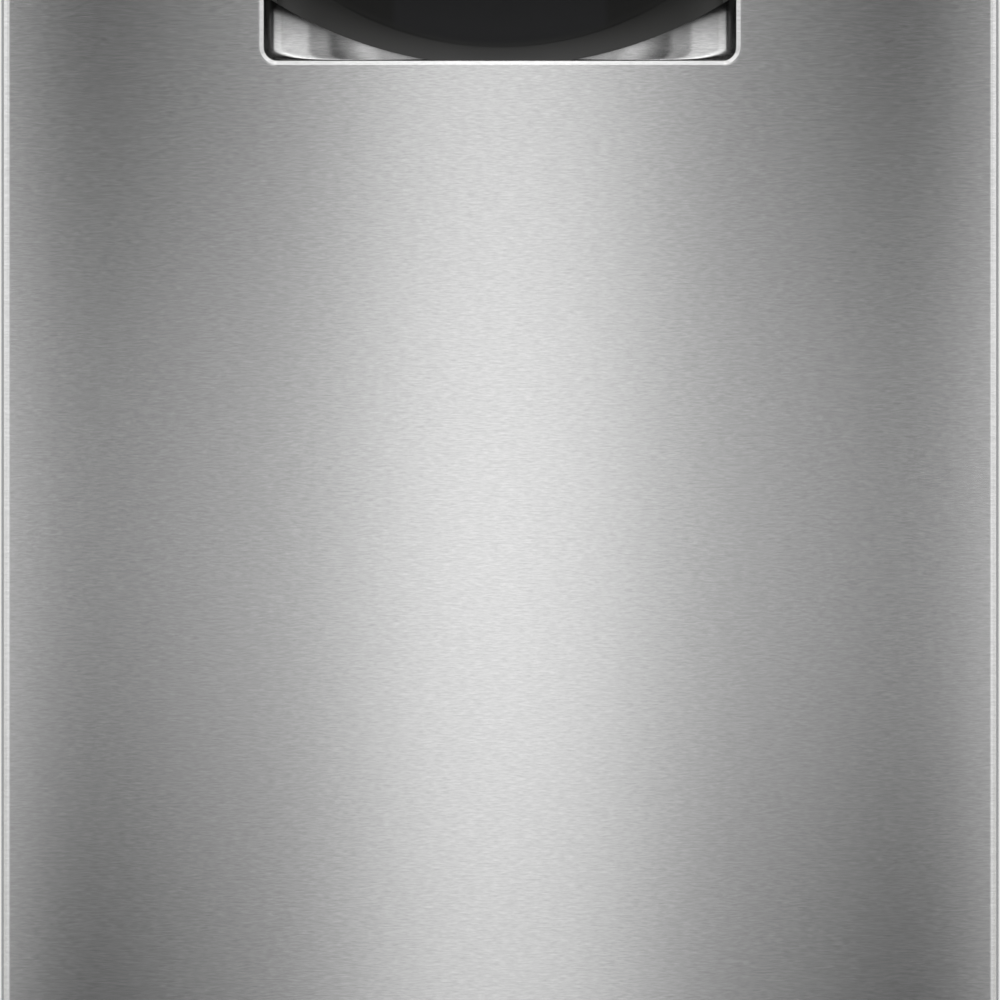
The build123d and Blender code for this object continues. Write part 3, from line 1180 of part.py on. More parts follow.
def door_liner():
    """Inner door sheet with folded edges, raised panel, dispenser hole and latch slot."""
    liner = liner_body(0) - liner_body(SHEET)
    liner -= along_y(rectangle(DISPENSER_LOW, DISPENSER_HIGH), SKIN_BACK - OVERRUN, DOOR_INNER_Y + OVERRUN)
    slot_half = STRIKE_HALF + STRIKE_THICK
    slot = rectangle((-slot_half, STRIKE_Z - STRIKE_THICK), (slot_half, STRIKE_Z + STRIKE_THICK))
    liner -= along_y(slot, SKIN_BACK - OVERRUN, DOOR_INNER_Y + OVERRUN)
    rear = DOOR_INNER_Y - SHEET
    box = LATCH_HALF + RUN_GAP
    return liner - block((-box, rear - LINER_FOLD, STRIKE_Z), (box, rear, LINER_TOP + OVERRUN))


PANEL_FACE = DOOR_INNER_Y + PANEL_RISE
DISPENSER_Y = PANEL_FACE + DISPENSER_FACE


def dispenser():
    """Dispenser housing: a box through the liner, its face plate, the detergent chamber and lid guides."""
    low_x, low_z = DISPENSER_LOW
    high_x, high_z = DISPENSER_HIGH
    gap = RUN_GAP
    floor_y = PANEL_FACE - DISPENSER_REACH
    housing = block((low_x + gap, floor_y, low_z + gap), (high_x - gap, PANEL_FACE, high_z - gap))
    rim = DISPENSER_RIM
    plate = rectangle((low_x - rim, low_z - rim), (high_x + rim, high_z + rim))
    plate = fillet(plate.vertices(), 2 * rim)
    housing += along_y(plate, PANEL_FACE, DISPENSER_Y)
    back = floor_y + CHAMBER_WALL
    chamber = fillet(rectangle(CHAMBER_LOW, CHAMBER_HIGH).vertices(), CHAMBER_WALL)
    housing -= along_y(chamber, back, DISPENSER_Y + OVERRUN)
    lid_low_x = CHAMBER_LOW[0] - LID_RIM
    lid_high_x = CHAMBER_HIGH[0] + LID_RIM
    guide_low = CHAMBER_LOW[1] - LID_RIM - LID_TRAVEL
    guide_high = CHAMBER_HIGH[1] + LID_RIM
    guide_face = DISPENSER_Y + LID_THICK + gap
    for start in (lid_low_x - gap - LID_GUIDE, lid_high_x + gap):
        housing += block((start, DISPENSER_Y, guide_low), (start + LID_GUIDE, guide_face, guide_high))
    return housing


def detergent_lid():
    """Lid that slides down from the detergent chamber, with a thumb rib."""
    low = (CHAMBER_LOW[0] - LID_RIM, DISPENSER_Y + RUN_GAP, CHAMBER_LOW[1] - LID_RIM)
    high = (CHAMBER_HIGH[0] + LID_RIM, DISPENSER_Y + RUN_GAP + LID_THICK, CHAMBER_HIGH[1] + LID_RIM)
    lid = block(low, high)
    rib_x = (CHAMBER_LOW[0] + CHAMBER_HIGH[0]) / 2
    rib_z = high[2] - 3 * LID_THICK
    return lid + block(
        (rib_x - 4 * LID_RIM, high[1], rib_z), (rib_x + 4 * LID_RIM, high[1] + LID_THICK, rib_z + LID_THICK)
    )


def rinse_cap():
    """Round cap of the rinse-aid chamber, with a bar to turn it by."""
    back = DISPENSER_Y + RUN_GAP
    cap = rod_y(CAP_RADIUS, back, back + CAP_HEIGHT / 2, CAP_X, CAP_Z)
    half = CAP_RADIUS - LID_THICK
    return cap + block(
        (CAP_X - half, back, CAP_Z - LID_THICK), (CAP_X + half, back + CAP_HEIGHT, CAP_Z + LID_THICK)
    )


def latch_housing():
    """Open steel box inside the door's top edge that carries the latch claw on a pin."""
    rear = DOOR_INNER_Y - SHEET
    box = block((-LATCH_HALF, rear - LATCH_DEPTH, LATCH_LOW), (LATCH_HALF, rear, LATCH_HIGH))
    inner = LATCH_HALF - LATCH_WALL
    box -= block(
        (-inner, rear - LATCH_DEPTH + LATCH_WALL, LATCH_LOW + LATCH_WALL),
        (inner, rear + OVERRUN, LATCH_HIGH + OVERRUN),
    )
    return box + rod_x(CLAW_PIN, -inner, inner, CLAW_Y, CLAW_Z)


def latch_claw():
    """Sprung claw that the strike rides over as the door shuts."""
    bore = CLAW_PIN + BEARING_GAP
    arm = rod_x(CLAW_PIN + 2 * SHEET, -CLAW_HALF, CLAW_HALF, CLAW_Y, CLAW_Z)
    tip = CLAW_Y + CLAW_LENGTH
    arm += block((-CLAW_HALF, CLAW_Y, CLAW_Z - CLAW_PIN), (CLAW_HALF, tip, CLAW_Z + CLAW_PIN))
    arm += block((-CLAW_HALF, tip - 2 * STRIKE_THICK, CLAW_Z), (CLAW_HALF, tip, CLAW_Z + CLAW_RISE))
    return arm - rod_x(bore, -LATCH_HALF, LATCH_HALF, CLAW_Y, CLAW_Z)


def latch_strike():
    """Tongue on the tub's top flange that enters the latch."""
    tongue = block(
        (-STRIKE_HALF, DOOR_INNER_Y - STRIKE_REACH, STRIKE_Z - STRIKE_THICK / 2),
        (STRIKE_HALF, TUB_FRONT, STRIKE_Z + STRIKE_THICK / 2),
    )
    plate_half = 2 * STRIKE_HALF
    return tongue + block(
        (-plate_half, TUB_FRONT - SHEET, STRIKE_Z - STRIKE_THICK / 2),
        (plate_half, TUB_FRONT, STRIKE_Z + 3 * STRIKE_THICK),
    )


def door_seal():
    """Rubber lip along the bottom of the door liner."""
    lip = block(
        (-SEAL_HALF, DOOR_INNER_Y, LINER_BOTTOM),
        (SEAL_HALF, DOOR_INNER_Y + SEAL_REACH, LINER_BOTTOM + SEAL_HEIGHT),
    )
    return chamfer(lip.edges().filter_by(Axis.X).group_by(Axis.Y)[-1], SEAL_REACH / 3)


# Hinges and the springs that balance the door
BRACKET_IN = TRAY_HALF
BRACKET_THICK = 3
BRACKET_HALF = 8
BRACKET_LENGTH = 37
BRACKET_REAR = TRAY_FRONT + BRACKET_LENGTH
BRACKET_FOOT_FRONT = TRAY_FRONT
BRACKET_FOOT_LOW = 60
PIN_RADIUS = 4
ARM_SHEET = 3.4
ARM_WIDTH = 18
ARM_HEIGHT = 114
ARM_TOP = HINGE_Z + ARM_HEIGHT
LEVER_LIFT = 30
LEVER_PIN = 2.5
SPRING_STANDOFF = 6.5
SPRING_X = TRAY_HALF + SPRING_STANDOFF
SPRING_Z = HINGE_Z + LEVER_LIFT
SPRING_RADIUS = 5.5
SPRING_START = 61.2
SPRING_FRONT = HINGE_Y + SPRING_START
SPRING_LENGTH = 248
ANCHOR_Y = SPRING_FRONT + SPRING_LENGTH
CABLE_RADIUS = 0.9
CABLE_INSET = 2.9
CABLE_X = SPRING_X - CABLE_INSET


def hinge_bracket():
    """Right-hand fixed bracket on the base, with the hinge pin."""
    inner, outer = BRACKET_IN, BRACKET_IN + BRACKET_THICK
    plate = block((inner, HINGE_Y, HINGE_Z - BRACKET_HALF), (outer, BRACKET_REAR, HINGE_Z + BRACKET_HALF))
    plate += rod_x(BRACKET_HALF, inner, outer, HINGE_Y, HINGE_Z)
    plate += block((inner, BRACKET_FOOT_FRONT, BRACKET_FOOT_LOW), (outer, BRACKET_REAR, HINGE_Z))
    return plate + rod_x(PIN_RADIUS, LINER_HALF + RUN_GAP, inner, HINGE_Y, HINGE_Z)


def hinge_arm():
    """Right-hand arm on the door liner's fold, with the hinge bore and the spring's pin."""
    inner, outer = LINER_HALF, LINER_HALF + ARM_SHEET
    strip = along_x(Pos(HINGE_Y, HINGE_Z) * Circle(ARM_WIDTH / 2), inner, outer)
    strip += block((inner, HINGE_Y - ARM_WIDTH / 2, HINGE_Z), (outer, HINGE_Y + ARM_WIDTH / 2, ARM_TOP))
    strip += rod_x(LEVER_PIN, outer, CABLE_X + CABLE_RADIUS, HINGE_Y, HINGE_Z + LEVER_LIFT)
    return strip - rod_x(PIN_RADIUS + BEARING_GAP, inner - OVERRUN, BRACKET_IN, HINGE_Y, HINGE_Z)


def door_spring():
    """Right-hand balance spring, its cable to the door's lever pin and its end on the base's anchor."""
    cable_front = HINGE_Y + LEVER_PIN + RUN_GAP
    cable = rod_y(CABLE_RADIUS, cable_front, SPRING_FRONT + OVERRUN, CABLE_X, SPRING_Z)
    return cable + rod_y(SPRING_RADIUS, SPRING_FRONT, ANCHOR_Y, SPRING_X, SPRING_Z)


save("worktop", worktop())
save("right_side_panel", side_panel())
save("left_side_panel", mirrored(-1, side_panel()))
save("rear_panel", rear_panel())
save("plinth", plinth())
save("base_tray", base_tray())
save("front_left_foot", foot(-FOOT_X, FOOT_Y))
save("front_right_foot", foot(FOOT_X, FOOT_Y))
save("rear_foot", foot(0, REAR_FOOT_Y))
save("rear_foot_shaft", rear_foot_shaft())
save("tub", tub())
save("tub_gasket", tub_gasket())
save("sump", sump())
save("fine_filter", fine_filter())
save("filter_cup", filter_cup())
save("circulation_pump", circulation_pump())
save("drain_pump", drain_pump())
save("softener", softener())
save("salt_cap", salt_cap())
save("inlet_valve", inlet_valve())
save("rear_connections", rear_connections())
save("lower_spray_arm", spray_arm(LOWER_REACH, ARM_LOW, ARM_THICK, SPINDLE_RADIUS + BEARING_GAP))
upper_arm_low = UPPER_ARM_TOP - UPPER_ARM_THICK
save("upper_spray_arm", spray_arm(UPPER_REACH, upper_arm_low, UPPER_ARM_THICK, FEED_PIN + BEARING_GAP))
save("water_riser", water_riser())
save("upper_feed_pipe", upper_feed_pipe())
save("lower_rack", *lower_rack())
for name, x in zip(("lower_tines_left", "lower_tines_middle"), FOLD_TINE_X):
    save(name, *folding_tines(x))
for side, hand in zip(SIDES, ("left", "right")):
    for y, end in zip(WHEEL_Y, ("front", "rear")):
        save(f"wheel_{end}_{hand}", mirrored(side, wheel(y)))
    save(f"cup_shelf_{hand}", mirrored(side, cup_shelf()))
save("cutlery_basket", cutlery_basket())
save("rack_rails", *[mirrored(side, channel(SLIDE_IN, TUB_HALF, RAIL_HALF)) for side in SIDES])
save("rail_slides", *[mirrored(side, channel(SLIDE_IN + RAIL_GAP, SLIDE_OUT, SLIDE_HALF)) for side in SIDES])
save("upper_rack", *upper_rack())
save("door_skin", door_skin())
save("handle_grip", handle_grip())
save("fascia", fascia())
save("display_window", display_window())
save("control_module", control_module())
save("power_button", key(POWER_X))
save("start_button", key(START_X))
for number, x in enumerate(KEY_X, start=1):
    save(f"programme_button_{number}", key(x))
save("door_liner", door_liner())
save("dispenser", dispenser())
save("detergent_lid", detergent_lid())
save("rinse_cap", rinse_cap())
save("latch_housing", latch_housing())
save("latch_claw", latch_claw())
save("latch_strike", latch_strike())
save("door_seal", door_seal())
save("hinge_brackets", *[mirrored(side, hinge_bracket()) for side in SIDES])
save("hinge_arms", *[mirrored(side, hinge_arm()) for side in SIDES])
save("door_springs", *[mirrored(side, door_spring()) for side in SIDES])
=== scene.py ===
import json
import math

import bmesh
import bpy
from mathutils import Matrix, Vector

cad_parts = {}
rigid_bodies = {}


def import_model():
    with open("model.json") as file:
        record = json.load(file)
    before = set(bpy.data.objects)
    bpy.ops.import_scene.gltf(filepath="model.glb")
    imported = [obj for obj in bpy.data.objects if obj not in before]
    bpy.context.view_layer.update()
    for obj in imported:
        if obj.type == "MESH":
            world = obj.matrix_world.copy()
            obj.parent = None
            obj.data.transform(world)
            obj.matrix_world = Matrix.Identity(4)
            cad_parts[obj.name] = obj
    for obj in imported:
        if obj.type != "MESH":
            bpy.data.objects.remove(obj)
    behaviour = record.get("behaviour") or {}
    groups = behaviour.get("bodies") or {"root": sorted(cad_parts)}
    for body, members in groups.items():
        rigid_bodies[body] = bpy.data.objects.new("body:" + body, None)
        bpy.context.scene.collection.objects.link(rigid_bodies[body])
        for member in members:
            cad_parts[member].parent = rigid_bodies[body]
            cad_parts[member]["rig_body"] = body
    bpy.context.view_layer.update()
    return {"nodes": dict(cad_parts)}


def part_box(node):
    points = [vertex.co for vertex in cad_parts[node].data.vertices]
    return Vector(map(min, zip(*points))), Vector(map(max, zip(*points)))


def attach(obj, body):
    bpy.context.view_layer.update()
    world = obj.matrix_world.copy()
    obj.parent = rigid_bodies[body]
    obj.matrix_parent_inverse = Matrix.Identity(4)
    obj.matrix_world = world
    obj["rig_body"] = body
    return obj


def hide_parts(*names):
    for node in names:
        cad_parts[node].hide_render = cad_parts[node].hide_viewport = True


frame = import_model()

# The camera stands twenty metres in front of the door and looks at it squarely through a long lens, so
# that nothing narrows with distance. The picture is as wide as the machine, and its upper edge runs
# across the pocket.
skin_low, skin_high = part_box("door_skin")
DOOR_FACE = skin_low[1]
CAMERA_BACK, CAMERA_HEIGHT = 20.0, 0.4129
PICTURE_WIDTH, SENSOR_WIDTH, FARTHEST = 0.5998, 36, 100
scene = bpy.context.scene
scene.view_settings.view_transform = "Standard"
camera = bpy.data.objects.new("camera", bpy.data.cameras.new("camera"))
scene.collection.objects.link(camera)
camera.location = (0, DOOR_FACE - CAMERA_BACK, CAMERA_HEIGHT)
camera.rotation_euler = (math.radians(90), 0, 0)
camera.data.lens = SENSOR_WIDTH * CAMERA_BACK / PICTURE_WIDTH
camera.data.clip_end = FARTHEST
scene.camera = camera


# The room is a pale grey that grows lighter towards the ceiling, and lights the object evenly. The
# camera, and gloss and glass with it, see a plain pale backdrop in its place.
class Wire:
    """One socket of a node tree. Sums on it add Math nodes, and node() adds any other node."""

    def __init__(self, tree, socket=None):
        self.tree = tree
        self.socket = socket

    def node(self, kind, settings, inputs, out=0):
        made = self.tree.nodes.new("ShaderNode" + kind)
        for name, value in settings.items():
            if name == "stops":
                for place, colour in value:
                    if place in (0, 1):
                        made.color_ramp.elements[-int(place)].color = colour
                    else:
                        made.color_ramp.elements.new(place).color = colour
            else:
                setattr(made, name, value)
        for name, value in inputs.items():
            if isinstance(value, Wire):
                self.tree.links.new(value.socket, made.inputs[name])
            else:
                made.inputs[name].default_value = value
        return Wire(self.tree, made.outputs[out])

    def beside(self, name):
        return Wire(self.tree, self.socket.node.outputs[name])

    def maths(self, operation, *values):
        return self.node("Math", {"operation": operation}, dict(enumerate(values)))

    def __abs__(self):
        return self.maths("ABSOLUTE", self)

    def __add__(self, other):
        return self.maths("ADD", self, other)

    __radd__ = __add__

    def __sub__(self, other):
        return self.maths("SUBTRACT", self, other)

    def __rsub__(self, other):
        return self.maths("SUBTRACT", other, self)

    def __mul__(self, other):
        return self.maths("MULTIPLY", self, other)

    __rmul__ = __mul__


def component(vector, axis):
    """One of a vector's three numbers."""
    return vector.node("SeparateXYZ", {}, {"Vector": vector}, axis)


def span(value, start, end, interpolation="LINEAR"):
    """How far a value has come on its way between two numbers, from 0 to 1."""
    ends = {"Value": value, "From Min": start, "From Max": end}
    return value.node("MapRange", {"interpolation_type": interpolation}, ends)


def tinted(amount, low, high):
    """A colour between two colours or patterns, by a grey amount."""
    first, second = [end if isinstance(end, Wire) else (*end, 1) for end in (low, high)]
    return amount.node("Mix", {"data_type": "RGBA"}, {0: amount, 6: first, 7: second}, 2)


scene.world = bpy.data.worlds.new("studio")
scene.world.use_nodes = True
sky = Wire(scene.world.node_tree)
up = component(sky.node("TexCoord", {}, {}, "Generated"), "Z")
room = tinted(span(up, 0.0, 0.6), (0.6, 0.6, 0.6), (1.1, 1.1, 1.1))
seen = sky.node("LightPath", {}, {}, "Is Camera Ray")
mirrored = seen.beside("Is Glossy Ray") + seen.beside("Is Transmission Ray")
shown = tinted(seen + mirrored, room, (0.79, 0.79, 0.76))
sky.tree.links.new(shown.socket, sky.tree.nodes["Background"].inputs["Color"])


# Three softboxes light the object: a wide one hangs overhead and a narrow one stands on each side. The
# side ones don't show in gloss, where they would draw two hard stripes.
def softbox(name, place, aim, width, height, level, mirrored=True):
    """An area lamp of an even brightness, turned towards a point."""
    lamp = bpy.data.lights.new(name, "AREA")
    lamp.shape = "RECTANGLE"
    lamp.size, lamp.size_y = width, height
    lamp.energy = level * math.pi * width * height
    held = bpy.data.objects.new(name, lamp)
    scene.collection.objects.link(held)
    held.location = place
    held.rotation_euler = (Vector(aim) - Vector(place)).to_track_quat("-Z", "Y").to_euler()
    held.visible_camera = False
    held.visible_glossy = mirrored


SIDE_LAMP_OUT, SIDE_LAMP_Y, SIDE_LAMP_HEIGHT = 1.5, -1.0, 0.75
softbox("overhead", place=(0, -0.5, 2.6), aim=(0, 0, 0.3), width=2.2, height=1.8, level=0.9)
for side, hand in ((-1, "left"), (1, "right")):
    stand = (side * SIDE_LAMP_OUT, SIDE_LAMP_Y, SIDE_LAMP_HEIGHT)
    softbox("side_" + hand, stand, aim=(0, -0.2, 0.45), width=0.5, height=0.9, level=1.0, mirrored=False)

# The steel mirrors what stands round it, so studio cloths hang before the door, above it and at its
# sides, and one lies on the floor. Only reflections show them. The front one is bright in its middle.
CLOTH_AWAY, CLOTH_HALF, CLOTH_TOP, CLOTH_REACH = 0.9, 2.0, 2.4, 0.6
FLOOR_CLOTH_HALF, FLOOR_CLOTH_LIFT, FLOOR_CLOTH_GAP, FLOOR_CLOTH_LEVEL = 0.9, 0.004, 0.03, 0.8
TOP_CLOTH_HALF, TOP_CLOTH_HEIGHT, TOP_CLOTH_REAR, TOP_CLOTH_LEVEL = 1.6, 2.45, 0.7, 1.45
SIDE_CLOTH_OUT, SIDE_CLOTH_LOW, SIDE_CLOTH_TOP = 1.9, 0.3, 2.2
SIDE_CLOTH_REAR, SIDE_CLOTH_LEVEL = 1.6, 1.3
CLOTHS_FRONT = -1.1


def new_cloth(name, low, high):
    """A flat cloth between two corners, with a bare material, that only reflections show."""
    shape = bmesh.new()
    bmesh.ops.create_grid(shape, x_segments=1, y_segments=1, size=0.5)
    low, high = Vector(low), Vector(high)
    for axis, turned in (("X", low.y == high.y), ("Y", low.x == high.x)):
        if turned:
            bmesh.ops.rotate(shape, matrix=Matrix.Rotation(math.radians(90), 3, axis), verts=shape.verts)
    bmesh.ops.scale(shape, vec=high - low, verts=shape.verts)
    bmesh.ops.translate(shape, vec=(low + high) / 2, verts=shape.verts)
    mesh = bpy.data.meshes.new(name)
    shape.to_mesh(mesh)
    shape.free()
    held = bpy.data.objects.new(name, mesh)
    scene.collection.objects.link(held)
    held.visible_camera = held.visible_shadow = held.visible_diffuse = False
    lit = bpy.data.materials.new(name)
    lit.use_nodes = True
    mesh.materials.append(lit)
    cloth = Wire(lit.node_tree)
    cloth.tree.nodes.remove(cloth.tree.nodes["Principled BSDF"])
    return cloth


def glowing(cloth, level):
    """Gives a cloth its brightness, as a pattern or as one level."""
    sent = cloth.node("Emission", {}, {"Strength": level})
    cloth.tree.links.new(sent.socket, cloth.tree.nodes["Material Output"].inputs["Surface"])


def graded(cloth, axis, reach, *stops):
    """A brightness that changes by listed stops from the middle of a cloth out to its reach."""
    distance = abs(component(cloth.node("TexCoord", {}, {}, "Object"), axis))
    ramp = [(place, (value, value, value, 1)) for place, value in stops]
    return cloth.node("ValToRGB", {"stops": ramp}, {"Fac": span(distance, 0.0, reach)})


MIDDLE_GLOW = (
    (0, 0.98), (0.065, 0.88), (0.11, 0.75), (0.16, 0.52), (0.225, 0.31), (0.29, 0.22), (0.36, 0.12),
    (0.42, 0.0), (0.48, 0.08), (0.52, 0.45), (0.93, 0.3), (0.95, 0.92), (1, 0.92),
)
HEIGHT_GLOW = (
    (0, 0), (0.08, 0.1), (0.13, 0.6), (0.2, 0.6), (0.25, 0.1), (0.3, 0), (0.66, 0), (0.7, 1.5), (1, 1.5),
)
cloth_y = DOOR_FACE - CLOTH_AWAY
front_cloth = new_cloth("front_cloth", (-CLOTH_HALF, cloth_y, 0), (CLOTH_HALF, cloth_y, CLOTH_TOP))
sideways = graded(front_cloth, "X", CLOTH_REACH, *MIDDLE_GLOW)
glowing(front_cloth, sideways + graded(front_cloth, "Z", CLOTH_TOP, *HEIGHT_GLOW))
floor_cloth = new_cloth(
    "floor_cloth", (-FLOOR_CLOTH_HALF, cloth_y, FLOOR_CLOTH_LIFT),
    (FLOOR_CLOTH_HALF, DOOR_FACE - FLOOR_CLOTH_GAP, FLOOR_CLOTH_LIFT),
)
glowing(floor_cloth, graded(floor_cloth, "X", CLOTH_REACH, *MIDDLE_GLOW) * FLOOR_CLOTH_LEVEL)
top_cloth = new_cloth(
    "top_cloth", (-TOP_CLOTH_HALF, CLOTHS_FRONT, TOP_CLOTH_HEIGHT),
    (TOP_CLOTH_HALF, TOP_CLOTH_REAR, TOP_CLOTH_HEIGHT),
)
glowing(top_cloth, TOP_CLOTH_LEVEL)
for side, hand in ((-1, "left"), (1, "right")):
    out = side * SIDE_CLOTH_OUT
    corners = (out, CLOTHS_FRONT, SIDE_CLOTH_LOW), (out, SIDE_CLOTH_REAR, SIDE_CLOTH_TOP)
    glowing(new_cloth(hand + "_cloth", *corners), SIDE_CLOTH_LEVEL)

# The floor is a wide sheet of pale paint, so matt that it mirrors nothing. It carries the machine and
# keeps its shadow.
FLOOR_HALF = 9
floor_shape = bmesh.new()
bmesh.ops.create_grid(floor_shape, x_segments=1, y_segments=1, size=FLOOR_HALF)
floor_mesh = bpy.data.meshes.new("studio_floor")
floor_shape.to_mesh(floor_mesh)
floor_shape.free()
studio_floor = bpy.data.objects.new("studio_floor", floor_mesh)
scene.collection.objects.link(studio_floor)


def new_finish(name, **sockets):
    """A material with its constants on its Principled shader, and its place in object coordinates."""
    material = bpy.data.materials.new(name)
    material.use_nodes = True
    shader = material.node_tree.nodes["Principled BSDF"]
    for socket, value in sockets.items():
        shader.inputs[socket.replace("_", " ")].default_value = value
    return material, shader, Wire(material.node_tree).node("TexCoord", {}, {}, "Object")


def feed(shader, socket, pattern):
    """Joins a pattern to one of the shader's sockets."""
    pattern.tree.links.new(pattern.socket, shader.inputs[socket])


def clouds(place, scale, detail, **more):
    """Soft grey noise."""
    return place.node("TexNoise", {}, {"Vector": place, "Scale": scale, "Detail": detail, **more})


floor_paint, shader, place = new_finish("studio_floor", Roughness=0.9, Specular_IOR_Level=0.0)
feed(shader, "Base Color", tinted(clouds(place, 1.5, 3.0), (0.72, 0.72, 0.70), (0.76, 0.76, 0.74)))
floor_mesh.materials.append(floor_paint)

# The door front is one pressing of stainless steel sheet, brushed from side to side, with rounded long
# edges. A pocket for the fingers is drawn into its top, with oval side walls, a tight heel above its
# floor, and a chamfered lip that catches the light.
DOOR_HALF, DOOR_LOW = skin_high[0], skin_low[2]
SKIN_TOP, SKIN_BACK = skin_high[2], skin_high[1]
LONG_EDGE_RADIUS, LONG_EDGE_STEPS = 0.004, 8
POCKET_HALF, POCKET_FLOOR, POCKET_BACK = 0.1415, 0.6766, DOOR_FACE + 0.034
CURVE_LENGTH, CURVE_DEPTH, CURVE_STEPS = 0.070, 0.029, 160
CORNER, HEEL, TIGHTEST_HEEL = 0.008, 0.0012, 0.0006
CORNER_SHARES = (0.01, 0.03, 0.06, 0.1, 0.15, 0.21, 0.28, 0.38, 0.5, 0.64, 0.8, 1)
LIP_WIDTH, LIP_DEPTH = 0.003, 0.0017
OVERRUN = 0.02
TOUCH, MERGE_GAP, MERGE_ANGLE = 1e-5, 1e-6, 0.001
FINE_STREAK, COARSE_STREAK = (0.005, 0.0008), (0.012, 0.0014)


def box_shape(low, high):
    """A box from its lowest corner to its highest."""
    shape = bmesh.new()
    bmesh.ops.create_cube(shape, size=1)
    low, high = Vector(low), Vector(high)
    bmesh.ops.scale(shape, vec=high - low, verts=shape.verts)
    bmesh.ops.translate(shape, vec=(low + high) / 2, verts=shape.verts)
    return shape


def rounded(shape, edges, radius, segments):
    """Rounds some edges of a shape, or chamfers them with one segment."""
    bmesh.ops.bevel(
        shape, geom=edges, offset=radius, offset_type="OFFSET", affect="EDGES", segments=segments,
        profile=0.5, material=-1,
    )


def standing(shape):
    """A shape put into the scene for a while, so that a boolean can read it."""
    mesh = bpy.data.meshes.new("carving")
    shape.to_mesh(mesh)
    shape.free()
    held = bpy.data.objects.new("carving", mesh)
    scene.collection.objects.link(held)
    return held


def carved(shape, tool, operation="DIFFERENCE"):
    """A shape less another, or with INTERSECT what the two share."""
    piece, cutter = standing(shape), standing(tool)
    carve = piece.modifiers.new("carve", "BOOLEAN")
    carve.operation, carve.object, carve.solver = operation, cutter, "EXACT"
    mesh = bpy.data.meshes.new_from_object(piece.evaluated_get(bpy.context.evaluated_depsgraph_get()))
    made = bmesh.new()
    made.from_mesh(mesh)
    spare = [mesh, piece.data, cutter.data]
    bpy.data.batch_remove([piece, cutter])
    bpy.data.batch_remove(spare)
    return made


def new_piece(name, shape, material, body, node, smooth=35):
    """Makes an object of a shape, gives it its finish and body, and lets it stand for a CAD node."""
    mesh = bpy.data.meshes.new(name)
    shape.to_mesh(mesh)
    shape.free()
    mesh.polygons.foreach_set("use_smooth", [True] * len(mesh.polygons))
    mesh.set_sharp_from_angle(angle=math.radians(smooth))
    mesh.materials.append(material)
    piece = bpy.data.objects.new(name, mesh)
    scene.collection.objects.link(piece)
    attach(piece, body)
    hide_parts(node)
    return piece


def softened(piece, width, segments=2, angle=40):
    """Adds a small radius along a piece's sharp edges, and keeps its faces flat."""
    bevel = piece.modifiers.new("radius", "BEVEL")
    bevel.width, bevel.segments, bevel.limit_method = width, segments, "ANGLE"
    bevel.angle_limit = math.radians(angle)
    bevel.use_clamp_overlap = True
    flat = piece.modifiers.new("flat", "WEIGHTED_NORMAL")
    flat.keep_sharp = True


def pocket_shape(grow, top, sunk=0):
    """The hollow of the pocket, grown by a wall, with its floor sunk."""
    length, depth = CURVE_LENGTH + grow, CURVE_DEPTH + grow
    low, front = POCKET_FLOOR - grow - sunk, DOOR_FACE - OVERRUN
    half, back = POCKET_HALF + grow, POCKET_BACK + grow
    shape = box_shape((-half, front, low), (half, DOOR_FACE, top))
    for side in (-1, 1):
        column = bmesh.ops.create_cone(
            shape, cap_ends=True, segments=CURVE_STEPS, radius1=1, radius2=1, depth=top - low
        )["verts"]
        middle = (side * (half - length), back - depth, (low + top) / 2)
        bmesh.ops.scale(shape, vec=(length, depth, 1), verts=column)
        bmesh.ops.translate(shape, vec=middle, verts=column)
    hull = bmesh.ops.convex_hull(shape, input=shape.verts)
    left_over = hull["geom_interior"] + hull["geom_unused"]
    spare = {item for item in left_over if isinstance(item, bmesh.types.BMVert)}
    bmesh.ops.delete(shape, geom=list(spare), context="VERTS")
    bmesh.ops.dissolve_limit(shape, angle_limit=MERGE_ANGLE, verts=shape.verts, edges=shape.edges)
    corner, heel = CORNER + grow, max(HEEL + grow, TIGHTEST_HEEL)
    for share in CORNER_SHARES:
        bmesh.ops.bisect_plane(
            shape, geom=shape.verts[:] + shape.edges[:] + shape.faces[:], dist=1e-7,
            plane_co=(0, 0, low + corner * share), plane_no=(0, 0, 1),
        )
    for vert in shape.verts:
        lift = max(vert.co.z - low, 0)
        sides_in, back_in = [
            radius - math.sqrt(radius ** 2 - max(radius - lift, 0) ** 2) for radius in (corner, heel)
        ]
        vert.co.x *= 1 - sides_in / half
        vert.co.y = front + (vert.co.y - front) * (1 - back_in / (back - front))
    return shape


def brushing(place, length, height):
    """Grey streaks along X, from their length and height in metres."""
    stretched = place.node("Mapping", {}, {"Vector": place, "Scale": (1 / length, 1 / length, 1 / height)})
    return clouds(stretched, 1.0, 2.0, Roughness=0.6)


def bump(height, strength, distance):
    """The relief of a pattern, whose full height is a distance in metres."""
    return height.node("Bump", {}, {"Strength": strength, "Distance": distance, "Height": height})


def near_pocket(point):
    """True for a point of the door's face on the pocket's edge."""
    return abs(point.x) < POCKET_HALF + LIP_WIDTH and point.z > POCKET_FLOOR - LIP_WIDTH


